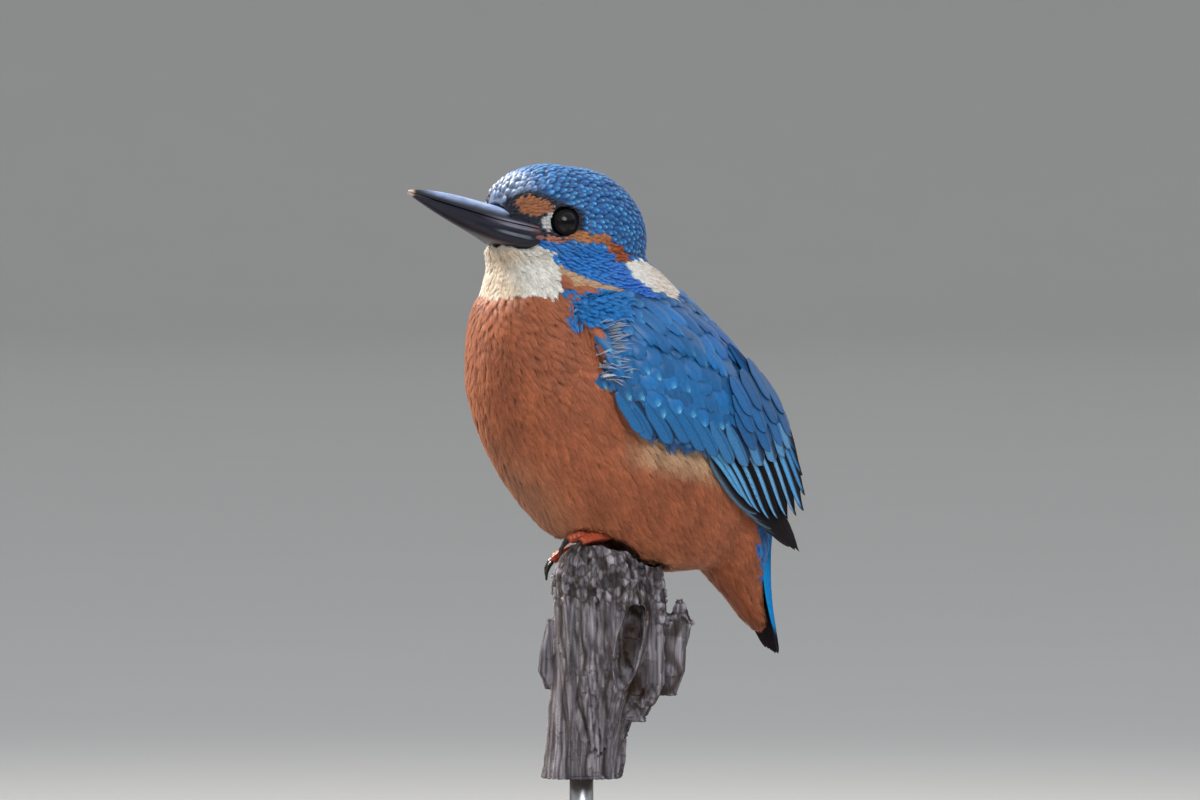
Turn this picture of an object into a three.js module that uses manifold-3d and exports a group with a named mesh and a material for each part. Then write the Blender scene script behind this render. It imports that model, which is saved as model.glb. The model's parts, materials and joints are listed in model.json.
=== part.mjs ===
// A life-size common kingfisher, a first-autumn bird, sitting on the broken end of an upright dead stem.
// Millimetres, +Z up. The bird faces -Y, and +X is its left. The origin is the centre of the base's underside.
import * as THREE from "three";
import { mergeVertices } from "three/addons/utils/BufferGeometryUtils.js";
import Module from "manifold-3d";

const wasm = await Module();
wasm.setup();

// ---- Driving dimensions ----
const GAP = 0.3; // clearance between neighbouring pieces
const CUT = 0.3; // width of the thin cuts that part the flesh

const BASE_RADIUS = 52;
const BASE_HEIGHT = 8;
const BASE_CHAMFER = 1.5;
const ROD_RADIUS = 2.5;
const PERCH_CUT_Z = 24; // where the stem is sawn off
const ROD_SOCKET = 10; // how far the rod goes into the stem
const ROD_FOOT_Z = 2.5; // how far up in the base the rod starts

const HEAD_CENTRE = new THREE.Vector3(0, -7.6, 140.1);
const HEAD_YAW = THREE.MathUtils.degToRad(13); // the head is turned a little to the bird's left
const EYE_RADIUS = 3.3;
const EYE_FORWARD = 8.3;
const EYE_ASIDE = 9;
const EYE_UP = 0.7;

const BILL_TIP = new THREE.Vector3(0, -41.8, 7.3); // in the head's own frame
const BILL_PITCH = THREE.MathUtils.degToRad(15.9); // the tip points up

const WRIST = new THREE.Vector2(-15, 123); // side view, (y, z)
const WING_LENGTH = 79.2;
const WING_DROP = THREE.MathUtils.degToRad(41.3); // below the horizontal

// ---- Helpers: solids, lofts and tables ----

// A closed geometry as a solid that can be cut and joined.
function solidOf(geometry) {
  const bare = geometry.clone();
  bare.deleteAttribute("normal");
  bare.deleteAttribute("uv");
  const merged = mergeVertices(bare, 1e-4);
  return new wasm.Manifold(
    new wasm.Mesh({
      numProp: 3,
      vertProperties: new Float32Array(merged.attributes.position.array),
      triVerts: new Uint32Array(merged.index.array),
    }),
  );
}

// A solid as a geometry again.
function geometryOf(solid) {
  const mesh = solid.getMesh();
  const positions = new Float32Array(mesh.numVert * 3);
  for (let i = 0; i < mesh.numVert; i++) {
    positions.set(mesh.vertProperties.subarray(i * mesh.numProp, i * mesh.numProp + 3), i * 3);
  }
  const geometry = new THREE.BufferGeometry();
  geometry.setAttribute("position", new THREE.BufferAttribute(positions, 3));
  geometry.setIndex(new THREE.BufferAttribute(mesh.triVerts, 1));
  geometry.computeVertexNormals();
  return geometry;
}

// Rows of numbers, the first of each the parameter, read as smooth functions of that parameter.
function table(rows) {
  const sorted = [...rows].sort((a, b) => a[0] - b[0]);
  const width = sorted[0].length - 1;
  const curve = new THREE.CubicInterpolant(
    sorted.map((row) => row[0]),
    sorted.flatMap((row) => row.slice(1)),
    width,
  );
  const from = sorted[0][0];
  const to = sorted[sorted.length - 1][0];
  return {
    from,
    to,
    at: (t) => [...curve.evaluate(THREE.MathUtils.clamp(t, from, to))],
  };
}

// The closed surface through rings of equal length, with a pole at each end.
function loft(rings, firstPole, lastPole) {
  const count = rings[0].length;
  const points = [firstPole, ...rings.flat(), lastPole];
  const faces = [];
  const at = (ring, i) => 1 + ring * count + (i % count);
  for (let i = 0; i < count; i++) {
    faces.push(0, at(0, i), at(0, i + 1));
    for (let ring = 0; ring + 1 < rings.length; ring++) {
      faces.push(at(ring, i), at(ring + 1, i), at(ring, i + 1));
      faces.push(at(ring, i + 1), at(ring + 1, i), at(ring + 1, i + 1));
    }
    faces.push(at(rings.length - 1, i), points.length - 1, at(rings.length - 1, i + 1));
  }
  let volume = 0;
  for (let f = 0; f < faces.length; f += 3) {
    const [a, b, c] = [points[faces[f]], points[faces[f + 1]], points[faces[f + 2]]];
    volume += a.dot(b.clone().cross(c));
  }
  if (volume < 0) faces.reverse();
  const geometry = new THREE.BufferGeometry().setFromPoints(points);
  geometry.setIndex(faces);
  return geometry;
}

// Parameters from 0 to 1, closer together towards both ends.
function easedSteps(count) {
  return Array.from({ length: count }, (_, i) => (1 - Math.cos((Math.PI * (i + 1)) / (count + 1))) / 2);
}

// A superellipse's corner, for an angle measured from +Y towards +X.
function superellipse(angle, halfX, halfY, power) {
  const s = Math.sin(angle);
  const c = Math.cos(angle);
  return [
    halfX * Math.sign(s) * Math.abs(s) ** (2 / power),
    halfY * Math.sign(c) * Math.abs(c) ** (2 / power),
  ];
}

// A body made of level slices. Rows hold height, centre y, half-depth in y and half-width in x.
function sliced(rows, sides, steps, power, grow = 0) {
  const sizes = table(rows);
  const rings = easedSteps(steps).map((share) => {
    const z = sizes.from + (sizes.to - sizes.from) * share;
    const [y, halfY, halfX] = sizes.at(z);
    return Array.from({ length: sides }, (_, i) => {
      const [x, dy] = superellipse((2 * Math.PI * i) / sides, halfX + grow, halfY + grow, power);
      return new THREE.Vector3(x, y + dy, z);
    });
  });
  const [bottomY] = sizes.at(sizes.from);
  const [topY] = sizes.at(sizes.to);
  return loft(
    rings,
    new THREE.Vector3(0, bottomY, sizes.from - grow),
    new THREE.Vector3(0, topY, sizes.to + grow),
  );
}

// A round limb along a smooth curve, with its radius read along it and a rounded pole at each end.
function limb(points, radii, sides, steps, grow = 0) {
  const curve = new THREE.CatmullRomCurve3(points.map((p) => new THREE.Vector3(...p)));
  const frames = curve.computeFrenetFrames(steps - 1, false);
  const radiusAt = table(radii);
  const rings = Array.from({ length: steps }, (_, k) => {
    const t = k / (steps - 1);
    const centre = curve.getPointAt(t);
    const [radius] = radiusAt.at(t);
    return Array.from({ length: sides }, (_, i) => {
      const angle = (2 * Math.PI * i) / sides;
      return centre
        .clone()
        .addScaledVector(frames.normals[k], (radius + grow) * Math.cos(angle))
        .addScaledVector(frames.binormals[k], (radius + grow) * Math.sin(angle));
    });
  });
  const [firstRadius] = radiusAt.at(0);
  const [lastRadius] = radiusAt.at(1);
  const first = curve.getPointAt(0).addScaledVector(frames.tangents[0], -0.6 * firstRadius - grow);
  const last = curve.getPointAt(1).addScaledVector(frames.tangents[steps - 1], 0.6 * lastRadius + grow);
  return loft(rings, first, last);
}

// A thin slab for parting a body, through a point, facing along a direction in the side view.
function partingSlab(point, direction, size) {
  const slab = new THREE.BoxGeometry(size, size, CUT);
  const turn = new THREE.Quaternion().setFromUnitVectors(
    new THREE.Vector3(0, 0, 1),
    new THREE.Vector3(...direction).normalize(),
  );
  slab.applyQuaternion(turn);
  slab.translate(...point);
  return solidOf(slab);
}

// What is left of a solid once each of the others is cut out of it.
function clearOf(solid, others) {
  return others.reduce((left, other) => left.subtract(other), solid);
}

// The largest of a solid's separate pieces.
function largestOf(solid) {
  return solid.decompose().sort((a, b) => b.volume() - a.volume())[0];
}

// The pieces of a solid that thin cuts have parted, from the top down, with crumbs dropped.
function pieces(solid) {
  const middle = (s) => {
    const box = s.boundingBox();
    return (box.min[2] + box.max[2]) / 2;
  };
  return solid
    .decompose()
    .filter((s) => s.volume() > 1)
    .sort((a, b) => middle(b) - middle(a));
}

const kingfisher = new THREE.Group();

function addNode(name, solid, colour, roughness, metalness = 0) {
  const material = new THREE.MeshStandardMaterial({ color: colour, roughness, metalness });
  const mesh = new THREE.Mesh(geometryOf(solid), material);
  mesh.name = name;
  kingfisher.add(mesh);
}

// ---- Colours ----
const ORANGE = 0xa8542e;
const BLUE = 0x1f6fb0;
const DEEP_BLUE = 0x12507e;
const WHITE = 0xe9e2d6;
const HORN_BLACK = 0x1d1d26;
const FOOT_ORANGE = 0xc6502c;
const CLAW_BLACK = 0x1b1512;
const EYE_BLACK = 0x0c0a0a;
const WEATHERED_WOOD = 0x77706d;
const DARK_WOOD = 0x3a2a20;
const STEEL = 0x8d8f92;

// ---- Trunk, neck and tail coverts, as level slices: [z, centre y, half-depth, half-width] ----
const TRUNK_ROWS = [
  [132.5, -5, 4, 3],
  [129, -4.6, 18, 13],
  [124.3, -4, 23.8, 17],
  [120.1, -2.2, 27, 19.4],
  [115.9, -0.5, 29.2, 21],
  [111.7, 1, 30.8, 22],
  [107.5, 2.4, 32.2, 22.6],
  [103.3, 4.2, 33.3, 22.9],
  [99.1, 5.9, 33.7, 22.9],
  [94.9, 7.2, 33.3, 22.6],
  [90.7, 8, 32.1, 22.1],
  [86.5, 8.8, 30.2, 21.2],
  [82.3, 9.7, 28, 19.6],
  [78.1, 10.8, 25.8, 17.4],
  [73.9, 12.6, 22.2, 14.4],
  [70.8, 14.3, 18.4, 12.2],
  [68.2, 15.5, 13, 8.8],
  [66.4, 16.3, 4, 3],
];
const NECK_ROWS = [
  [141, -11, 5, 4],
  [138, -10.8, 14.4, 10],
  [134.4, -9.6, 16.4, 11.8],
  [130.6, -6.2, 19.7, 14.2],
  [127.5, -4.6, 21.7, 15.8],
  [124.7, -4, 23.3, 17.3],
  [119, -3, 20, 15],
  [115, -3, 5, 4],
];
const COVERT_ROWS = [
  [91, 24, 3, 3],
  [87, 24.6, 10.5, 11.5],
  [81.3, 25.6, 12.4, 14],
  [77, 26.9, 11.6, 13.3],
  [73.3, 28.4, 10.2, 11.8],
  [69.7, 29.7, 8.4, 10.2],
  [66.2, 31, 6.6, 8.6],
  [62.8, 32.6, 4.6, 7],
  [60, 33.9, 3.7, 5.9],
  [57, 35.4, 2.9, 5.1],
  [54.6, 36.9, 2, 4.3],
  [52.6, 38.2, 0.8, 2],
];
const BODY_POWER = 2.15;

const trunkSkin = (grow) => solidOf(sliced(TRUNK_ROWS, 28, 15, BODY_POWER, grow));
const neckSkin = (grow) => solidOf(sliced(NECK_ROWS, 24, 6, BODY_POWER, grow));
const covertSkin = (grow) => solidOf(sliced(COVERT_ROWS, 16, 9, 2, grow));

// ---- Head: sections along its own forward axis ----
// [forward, top, bottom, half-width, height of the widest point]
const HEAD_ROWS = [
  [-18.6, -2.6, -4.6, 1, -3.6],
  [-17, 2.9, -9.6, 6.2, -3.6],
  [-13.2, 8, -12, 10.2, -3.4],
  [-8.9, 11, -13, 12.3, -3.3],
  [-4.5, 12.5, -13.4, 13.3, -3.2],
  [0.5, 13, -13.4, 13.5, -3],
  [5.5, 13.1, -13.2, 12.9, -2.8],
  [10, 12.5, -12.4, 11.4, -2.5],
  [14, 11.3, -11, 9.4, -1.9],
  [17, 9.6, -8.6, 7.2, -1],
  [19, 7.4, -5.6, 5, 0.4],
  [20.2, 3.6, -1.6, 2, 1],
];

const HEAD_SIDES = 22;

// Places a point of the head's own frame (left, back, up of its centre) in the bird's frame.
function headPlace(point) {
  return point.applyAxisAngle(new THREE.Vector3(0, 0, 1), HEAD_YAW).add(HEAD_CENTRE);
}

function headSkin(grow) {
  const sizes = table(HEAD_ROWS);
  const rings = easedSteps(13).map((share) => {
    const forward = sizes.from + (sizes.to - sizes.from) * share;
    const [top, bottom, halfWidth, widest] = sizes.at(forward);
    return Array.from({ length: HEAD_SIDES }, (_, i) => {
      const angle = (2 * Math.PI * i) / HEAD_SIDES;
      const reach = (Math.cos(angle) > 0 ? top - widest : widest - bottom) + grow;
      const [x, up] = superellipse(angle, halfWidth + grow, reach, 2.1);
      return headPlace(new THREE.Vector3(x, -forward, widest + up));
    });
  });
  const [, , , lowWidest] = sizes.at(sizes.from);
  const [, , , highWidest] = sizes.at(sizes.to);
  return solidOf(
    loft(
      rings,
      headPlace(new THREE.Vector3(0, -sizes.from + grow, lowWidest)),
      headPlace(new THREE.Vector3(0, -sizes.to - grow, highWidest)),
    ),
  );
}

// ---- Bill: [distance behind the tip, half-width, depth of the upper half, depth of the lower half] ----
const BILL_ROWS = [
  [0.35, 0.35, 0.35, 0.3],
  [2, 0.75, 0.9, 0.8],
  [4, 1.1, 1.4, 1.6],
  [7.5, 1.6, 2, 2.9],
  [12.7, 2.4, 2.55, 4],
  [18, 3.3, 2.8, 4.5],
  [23, 4.4, 3.2, 4.6],
  [27, 5.2, 3.2, 4],
  [30.5, 5.5, 2.2, 2.6],
];

// One mandible: side is 1 above the line of the mouth and -1 below it.
function mandible(side, grow, parting) {
  const sizes = table(BILL_ROWS);
  const place = (behind, x, up) => {
    const point = new THREE.Vector3(x, behind, up);
    point.applyAxisAngle(new THREE.Vector3(1, 0, 0), -BILL_PITCH);
    return headPlace(point.add(BILL_TIP));
  };
  const steps = easedSteps(10);
  const around = 11;
  const rings = steps.map((share) => {
    const behind = sizes.from + (sizes.to - sizes.from) * share;
    const [halfWidth, above, below] = sizes.at(behind);
    const depth = (side > 0 ? above : below) + grow;
    return Array.from({ length: around }, (_, i) => {
      const turn = (Math.PI * i) / (around - 1);
      const [across, lift] = superellipse(turn - Math.PI / 2, halfWidth + grow, depth, 1.75);
      return place(behind, across, side * (lift + parting / 2 - (i === 0 || i === around - 1 ? grow : 0)));
    });
  });
  const middle = side * (parting / 2 + 0.1);
  return solidOf(loft(rings, place(sizes.from - 0.3 - grow, 0, middle), place(sizes.to + grow, 0, middle)));
}

function eyeball(side, grow) {
  const ball = new THREE.SphereGeometry(EYE_RADIUS + grow, 12, 8);
  const centre = headPlace(new THREE.Vector3(side * EYE_ASIDE, -EYE_FORWARD, EYE_UP));
  ball.translate(centre.x, centre.y, centre.z);
  return solidOf(ball);
}

// ---- Legs and feet. Each toe is a curve over the broken wood, ending in a claw. ----
const TOE_RADII = [
  [0, 1.15],
  [0.5, 1.1],
  [1, 0.85],
];
const CLAW_RADII = [
  [0, 0.62],
  [0.5, 0.5],
  [1, 0.27],
];
const LEG_RADII = [
  [0, 1.6],
  [0.6, 1.2],
  [1, 1.35],
];
// Points from the ankle outwards; the last point of a toe is where its claw starts.
const FEET = [
  {
    label: "left",
    leg: [[7.2, 3.5, 80.5], [7.4, 1.6, 78.1], [7.8, -0.6, 75.6]],
    toes: {
      inner: [[7.2, -2.4, 75.2], [6.1, -6, 75.1], [5.1, -9, 74.4]],
      middle: [[7.9, -3, 75.4], [8.1, -7.6, 75.5], [8.4, -11, 74.6]],
      outer: [[8.6, -2.6, 75.2], [10.2, -6.4, 75.1], [11.4, -9.4, 74.4]],
      hind: [[7.7, 1.2, 75.1], [7.5, 4.6, 74], [7.5, 7.2, 72.4]],
    },
    claws: {
      inner: [[4.6, -10.6, 73.2], [4.5, -11, 71.4]],
      middle: [[8.5, -12.8, 73.3], [8.5, -13.2, 71.2]],
      outer: [[11.9, -11, 73.2], [12, -11.4, 71.4]],
      hind: [[7.5, 8.6, 71.1], [7.4, 9.2, 69.2]],
    },
  },
  {
    label: "right",
    leg: [[-7.2, 6, 77.6], [-7.4, 4.2, 74.9], [-7.8, 2.2, 71.9]],
    toes: {
      inner: [[-7, 0.6, 71.4], [-5.8, -2.8, 71.2], [-4.9, -5.6, 69.8]],
      middle: [[-7.9, 0, 71.6], [-8.1, -4, 71.3], [-8.4, -6.9, 69.4]],
      outer: [[-8.7, 0.4, 71.4], [-10.3, -2.8, 71.1], [-11.4, -5.4, 69.8]],
      hind: [[-7.7, 3.8, 71.3], [-7.4, 6.8, 70.7], [-7, 9.4, 69.2]],
    },
    claws: {
      inner: [[-4.5, -7, 68], [-4.4, -7.3, 66]],
      middle: [[-8.5, -8.3, 67.4], [-8.5, -8.5, 65.2]],
      outer: [[-11.9, -6.8, 68.2], [-12, -7.1, 66.2]],
      hind: [[-6.8, 10.7, 67.8], [-6.7, 11, 66]],
    },
  },
];

const feetRooms = [];
for (const { label, leg, toes, claws } of FEET) {
  const taken = [];
  const addLimb = (name, points, radii, sides, steps, colour) => {
    const whole = solidOf(limb(points, radii, sides, steps));
    addNode(name, largestOf(clearOf(whole, taken)), colour, 0.45);
    taken.push(solidOf(limb(points, radii, sides, steps, GAP)));
  };
  addLimb(`leg_${label}`, leg, LEG_RADII, 6, 4, FOOT_ORANGE);
  const ankle = leg[leg.length - 1];
  for (const [name, points] of Object.entries(toes)) {
    addLimb(`toe_${label}_${name}`, [ankle, ...points], TOE_RADII, 6, 5, FOOT_ORANGE);
    const toeEnd = points[points.length - 1];
    addLimb(`claw_${label}_${name}`, [toeEnd, ...claws[name]], CLAW_RADII, 5, 4, CLAW_BLACK);
  }
  feetRooms.push(...taken);
}

// ---- Perch: a dead stem, broken off at the top ----
// Its own directions are across its broad face, out of that face, and up.
const STEM_FACE = THREE.MathUtils.degToRad(65); // where the broad face looks, from -Y towards +X

function stemPlace(across, out, z) {
  return new THREE.Vector3(
    across * Math.cos(STEM_FACE) + out * Math.sin(STEM_FACE),
    across * Math.sin(STEM_FACE) - out * Math.cos(STEM_FACE),
    z,
  );
}

// Each stick of wood: rows of [height, middle across, half-width across, middle out, half-depth out].
const STEM_ROWS = [
  [24, -3.9, 8.7, 0, 8.4],
  [28, -3.5, 8.6, 0, 8.2],
  [33, -2.7, 8.5, 0.2, 8.3],
  [37, -2, 8.9, 0.4, 8.8],
  [42, -0.9, 9.6, 0.6, 9.8],
  [48, 0.6, 10.4, 1, 11],
  [56, 0.9, 11, 1.4, 11.8],
  [62, 0.7, 10.9, 1.7, 12.2],
  [66, -0.2, 10.2, 2, 12.4],
  [70, -0.6, 8.6, 2.2, 12.2],
  [74.3, -0.9, 6.6, 2.4, 11.6],
];
const STICKS = [
  [
    [41.4, 14.6, 1.8, 2.6, 2.2],
    [44, 15, 2.9, 2.6, 3],
    [52, 15.6, 3.1, 2.4, 3.2],
    [58.5, 17.2, 2.7, 2.2, 3],
    [61.5, 16.8, 1, 2, 1.6],
  ],
  [
    [35.8, 8.2, 1.6, 2, 3],
    [38, 9.4, 3.4, 2, 5.6],
    [48, 10.4, 4.2, 1.6, 6.2],
    [60, 10, 4.4, 1.2, 6.6],
    [69.4, 9.4, 3.7, 1, 6],
  ],
  [
    [42.6, -10.6, 1.1, 1, 1.6],
    [45, -11.5, 1.7, 1, 2.6],
    [51, -11.3, 1.6, 1, 2.6],
    [57.4, -10.4, 1, 1, 1.8],
  ],
];
const STEM_RIDGES = 9;
const RIDGE_DEPTH = 0.045;

function stick(rows, sides, steps, grow) {
  const sizes = table(rows);
  const rings = Array.from({ length: steps }, (_, k) => {
    const z = THREE.MathUtils.lerp(sizes.from, sizes.to, k / (steps - 1));
    const [across, halfAcross, out, halfOut] = sizes.at(z);
    return Array.from({ length: sides }, (_, i) => {
      const angle = (2 * Math.PI * i) / sides;
      const ridge = 1 + RIDGE_DEPTH * Math.sin(STEM_RIDGES * angle + 0.12 * z) * Math.cos(2 * angle + 0.5);
      const [a, b] = superellipse(angle, halfAcross * ridge + grow, halfOut * ridge + grow, 2.6);
      return stemPlace(across + a, out + b, z);
    });
  });
  const [firstAcross, , firstOut] = sizes.at(sizes.from);
  const [lastAcross, , lastOut] = sizes.at(sizes.to);
  return solidOf(
    loft(
      rings,
      stemPlace(firstAcross, firstOut, sizes.from - grow),
      stemPlace(lastAcross, lastOut, sizes.to + grow),
    ),
  );
}

const wood = (grow) => [stick(STEM_ROWS, 18, 8, grow), ...STICKS.map((rows) => stick(rows, 8, 5, grow))];

// What has broken away at the top: all over a rough floor that falls to the far side and the right.
function brokenAway() {
  const size = 44;
  const cells = 8;
  const block = new THREE.BoxGeometry(size, size, 20, cells, cells, 1);
  const position = block.attributes.position;
  for (let i = 0; i < position.count; i++) {
    const across = position.getX(i);
    const out = -position.getY(i); // the stem's own directions are left-handed
    const fallFar = 3.9 * THREE.MathUtils.smoothstep(-out, -2.5, 2.5);
    const fallRight = 4.4 * THREE.MathUtils.smoothstep(across, 3.5, 8.5);
    const fallLeft = 5.5 * THREE.MathUtils.smoothstep(-across, 6.8, 11);
    const rough = 0.7 * Math.sin(1.9 * across + 0.6) * Math.sin(1.6 * out + 1.1);
    const floor = 73.3 - Math.max(fallFar, fallRight) - fallLeft + rough;
    const place = stemPlace(across, out, position.getZ(i) > 0 ? 90 : floor);
    position.setXYZ(i, place.x, place.y, place.z);
  }
  return solidOf(block);
}

// The dark hollow between the trunk of the stem and its right-hand slab.
const HOLLOW_ROWS = [
  [42.5, 4.6, 1.2, 15, 5],
  [46, 5, 2.4, 14.5, 6.4],
  [54, 6.6, 2.8, 14, 7.2],
  [60.5, 8, 1.6, 14, 6],
];

const rodAcross = -3.9;
const rodPlace = stemPlace(rodAcross, 0, 0);

// An upright round bar between two heights, on the rod's own line.
function bar(radius, from, to) {
  const cylinder = new THREE.CylinderGeometry(radius, radius, to - from, 16);
  cylinder.rotateX(Math.PI / 2);
  cylinder.translate(rodPlace.x, rodPlace.y, (from + to) / 2);
  return solidOf(cylinder);
}

const stemWhole = wood(0).reduce((whole, part) => whole.add(part));
const rodSocket = bar(ROD_RADIUS + GAP, PERCH_CUT_Z - 1, PERCH_CUT_Z + ROD_SOCKET + GAP);
const perch = clearOf(stemWhole, [stick(HOLLOW_ROWS, 8, 4, 0), brokenAway(), rodSocket, ...feetRooms]);
addNode("perch", largestOf(perch), WEATHERED_WOOD, 0.9);

// ---- Stand: a round base and one rod up into the stem ----
const baseProfile = [
  [0, 0],
  [BASE_RADIUS - BASE_CHAMFER / 2, 0],
  [BASE_RADIUS, BASE_CHAMFER / 2],
  [BASE_RADIUS, BASE_HEIGHT - BASE_CHAMFER],
  [BASE_RADIUS - BASE_CHAMFER, BASE_HEIGHT],
  [0, BASE_HEIGHT],
];
const baseDisc = new THREE.LatheGeometry(baseProfile.map((p) => new THREE.Vector2(...p)), 32);
baseDisc.rotateX(Math.PI / 2);
const base = solidOf(baseDisc).subtract(bar(ROD_RADIUS + GAP, ROD_FOOT_Z - GAP, BASE_HEIGHT + 1));
addNode("stand_base", base, DARK_WOOD, 0.5);
addNode("stand_rod", bar(ROD_RADIUS, ROD_FOOT_Z, PERCH_CUT_Z + ROD_SOCKET), STEEL, 0.3, 1);

// ---- Flesh: one body, parted by thin cuts ----
const fleshWhole = headSkin(0).add(neckSkin(0)).add(trunkSkin(0)).add(covertSkin(0));
const billRoom = mandible(1, GAP, 0).add(mandible(-1, GAP, 0));
const flesh = fleshWhole
  .subtract(billRoom)
  .subtract(eyeball(1, GAP))
  .subtract(eyeball(-1, GAP))
  .subtract(partingSlab([0, -7, 129.5], [0, -0.15, 1], 80))
  .subtract(partingSlab([0, -3, 121.4], [0, -0.22, 1], 90))
  .subtract(partingSlab([0, 30, 72], [0, -0.478, 1], 60));
const fleshPieces = pieces(clearOf(flesh, [...wood(GAP), ...feetRooms]));
const [headPiece, neckPiece, trunkPiece, covertPiece] = fleshPieces;

addNode("head", headPiece, BLUE, 0.7);
addNode("neck", neckPiece, WHITE, 0.8);
addNode("trunk", trunkPiece, ORANGE, 0.8);
addNode("tail_coverts", covertPiece, ORANGE, 0.8);
addNode("bill_upper", mandible(1, 0, GAP), HORN_BLACK, 0.35);
addNode("bill_lower", mandible(-1, 0, GAP), HORN_BLACK, 0.35);
addNode("eye_left", eyeball(1, 0), EYE_BLACK, 0.05);
addNode("eye_right", eyeball(-1, 0), EYE_BLACK, 0.05);

// ---- Wings: an outline in the wing's own plan, laid on a rounded outer surface ----
// [distance from the wrist, lower edge, upper edge], across the wing.
const WING_ROWS = [
  [0, -0.5, 1.5],
  [3, -1.8, 6.5],
  [8, -4, 13],
  [14, -7.2, 18],
  [20, -10.9, 21],
  [26, -11.9, 22],
  [33, -9.4, 21.8],
  [41, -4.8, 20.6],
  [48, -1.8, 19],
  [56, -2.4, 16],
  [63.5, -3.6, 12.8],
  [70, -3.2, 8.8],
  [75, -2.2, 5],
  [79.2, -0.5, 0.6],
];
// The outer surface, as level slices: [z, centre y, half-depth, half-width].
const WING_SURFACE_ROWS = [
  [134, -4, 16, 10],
  [129, -4, 21.5, 15.5],
  [124.3, -4, 25.2, 19.4],
  [120, -2, 28.2, 22.6],
  [115.9, -0.3, 30.6, 24.2],
  [111.7, 1.3, 32.2, 25],
  [107.5, 2.9, 33.7, 25.4],
  [103.3, 4.7, 35, 25.5],
  [99.1, 6.6, 35.6, 25.3],
  [94.9, 8.2, 35.4, 24.7],
  [90.7, 9.8, 34.8, 23.7],
  [86.5, 11.5, 34.2, 22.3],
  [82.3, 13, 33.8, 20.6],
  [78.1, 15, 33.2, 18.6],
  [73.9, 17, 32.2, 16.6],
  [69.5, 19, 31, 14.6],
];
const WING_THICK_AT_WRIST = 5.5; // before the trunk is cut out of it
const WING_THICK_AT_TIP = 1.1;
const FLIGHT_CUT = 44; // where the coverts end and the flight feathers go on

const alongWing = new THREE.Vector2(Math.cos(WING_DROP), -Math.sin(WING_DROP));
const acrossWing = new THREE.Vector2(Math.sin(WING_DROP), Math.cos(WING_DROP));
const wingSurface = table(WING_SURFACE_ROWS);

// The outer surface over a place in the side view, with the outward direction there.
function onWing(y, z) {
  const [centre, halfDepth, halfWidth] = wingSurface.at(z);
  const reach = THREE.MathUtils.clamp((y - centre) / halfDepth, -0.985, 0.985);
  const x = halfWidth * Math.sqrt(1 - reach * reach);
  const [centreUp, depthUp, widthUp] = wingSurface.at(z + 0.5);
  const reachUp = THREE.MathUtils.clamp((y - centreUp) / depthUp, -0.985, 0.985);
  const xUp = widthUp * Math.sqrt(1 - reachUp * reachUp);
  const normal = new THREE.Vector3(x / halfWidth ** 2, (y - centre) / halfDepth ** 2, 0).normalize();
  normal.z = THREE.MathUtils.clamp(-(xUp - x) / 0.5, -1, 1) * normal.x;
  return { point: new THREE.Vector3(x, y, z), normal: normal.normalize() };
}

function wingBlank(side, grow) {
  const outline = table(WING_ROWS);
  const across = 7;
  const rings = easedSteps(16).map((share) => {
    const along = WING_LENGTH * share;
    const [low, high] = outline.at(along);
    const thick = THREE.MathUtils.lerp(
      WING_THICK_AT_WRIST,
      WING_THICK_AT_TIP,
      THREE.MathUtils.smoothstep(along, 0.35 * WING_LENGTH, 0.8 * WING_LENGTH),
    );
    const outer = [];
    const inner = [];
    for (let i = 0; i <= across; i++) {
      const q = THREE.MathUtils.lerp(low - grow, high + grow, i / across);
      const place = WRIST.clone().addScaledVector(alongWing, along).addScaledVector(acrossWing, q);
      const { point, normal } = onWing(place.x, place.y);
      outer.push(point.clone().addScaledVector(normal, grow));
      inner.unshift(point.clone().addScaledVector(normal, -thick - grow));
    }
    return [...outer, ...inner].map((p) => new THREE.Vector3(side * p.x, p.y, p.z));
  });
  const pole = (along) => {
    const [low, high] = outline.at(along);
    const place = WRIST.clone().addScaledVector(alongWing, along);
    place.addScaledVector(acrossWing, (low + high) / 2);
    const { point, normal } = onWing(place.x, place.y);
    point.addScaledVector(normal, -WING_THICK_AT_TIP / 2);
    return new THREE.Vector3(side * point.x, point.y, point.z);
  };
  return solidOf(loft(rings, pole(0.3), pole(WING_LENGTH)));
}

const fleshRoom = trunkSkin(GAP).add(neckSkin(GAP)).add(covertSkin(GAP));
const flightCut = WRIST.clone().addScaledVector(alongWing, FLIGHT_CUT);
for (const [label, side] of [["left", 1], ["right", -1]]) {
  const wing = wingBlank(side, 0)
    .subtract(fleshRoom)
    .subtract(partingSlab([0, flightCut.x, flightCut.y], [0, alongWing.x, alongWing.y], 120));
  const largest = wing
    .decompose()
    .sort((a, b) => b.volume() - a.volume())
    .slice(0, 2);
  const [coverts, flight] = largest.sort((a, b) => b.boundingBox().max[2] - a.boundingBox().max[2]);
  addNode(`wing_${label}`, coverts, BLUE, 0.6);
  addNode(`wing_${label}_flight`, flight, DEEP_BLUE, 0.6);
}

// ---- Tail: one fan, hanging close under the body: [height, centre y, half-width, thickness] ----
const TAIL_ROWS = [
  [86, 39, 5, 1],
  [80, 39.4, 6.4, 1.5],
  [70, 38.6, 6.3, 1.6],
  [60, 38.9, 5.8, 1.5],
  [53, 40.2, 5.2, 1.2],
  [49.8, 40.9, 4.2, 1],
  [48.4, 41.1, 2.4, 0.8],
];
const TAIL_ROOF = 0.9; // how far the middle feathers stand proud of the outer ones

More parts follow.
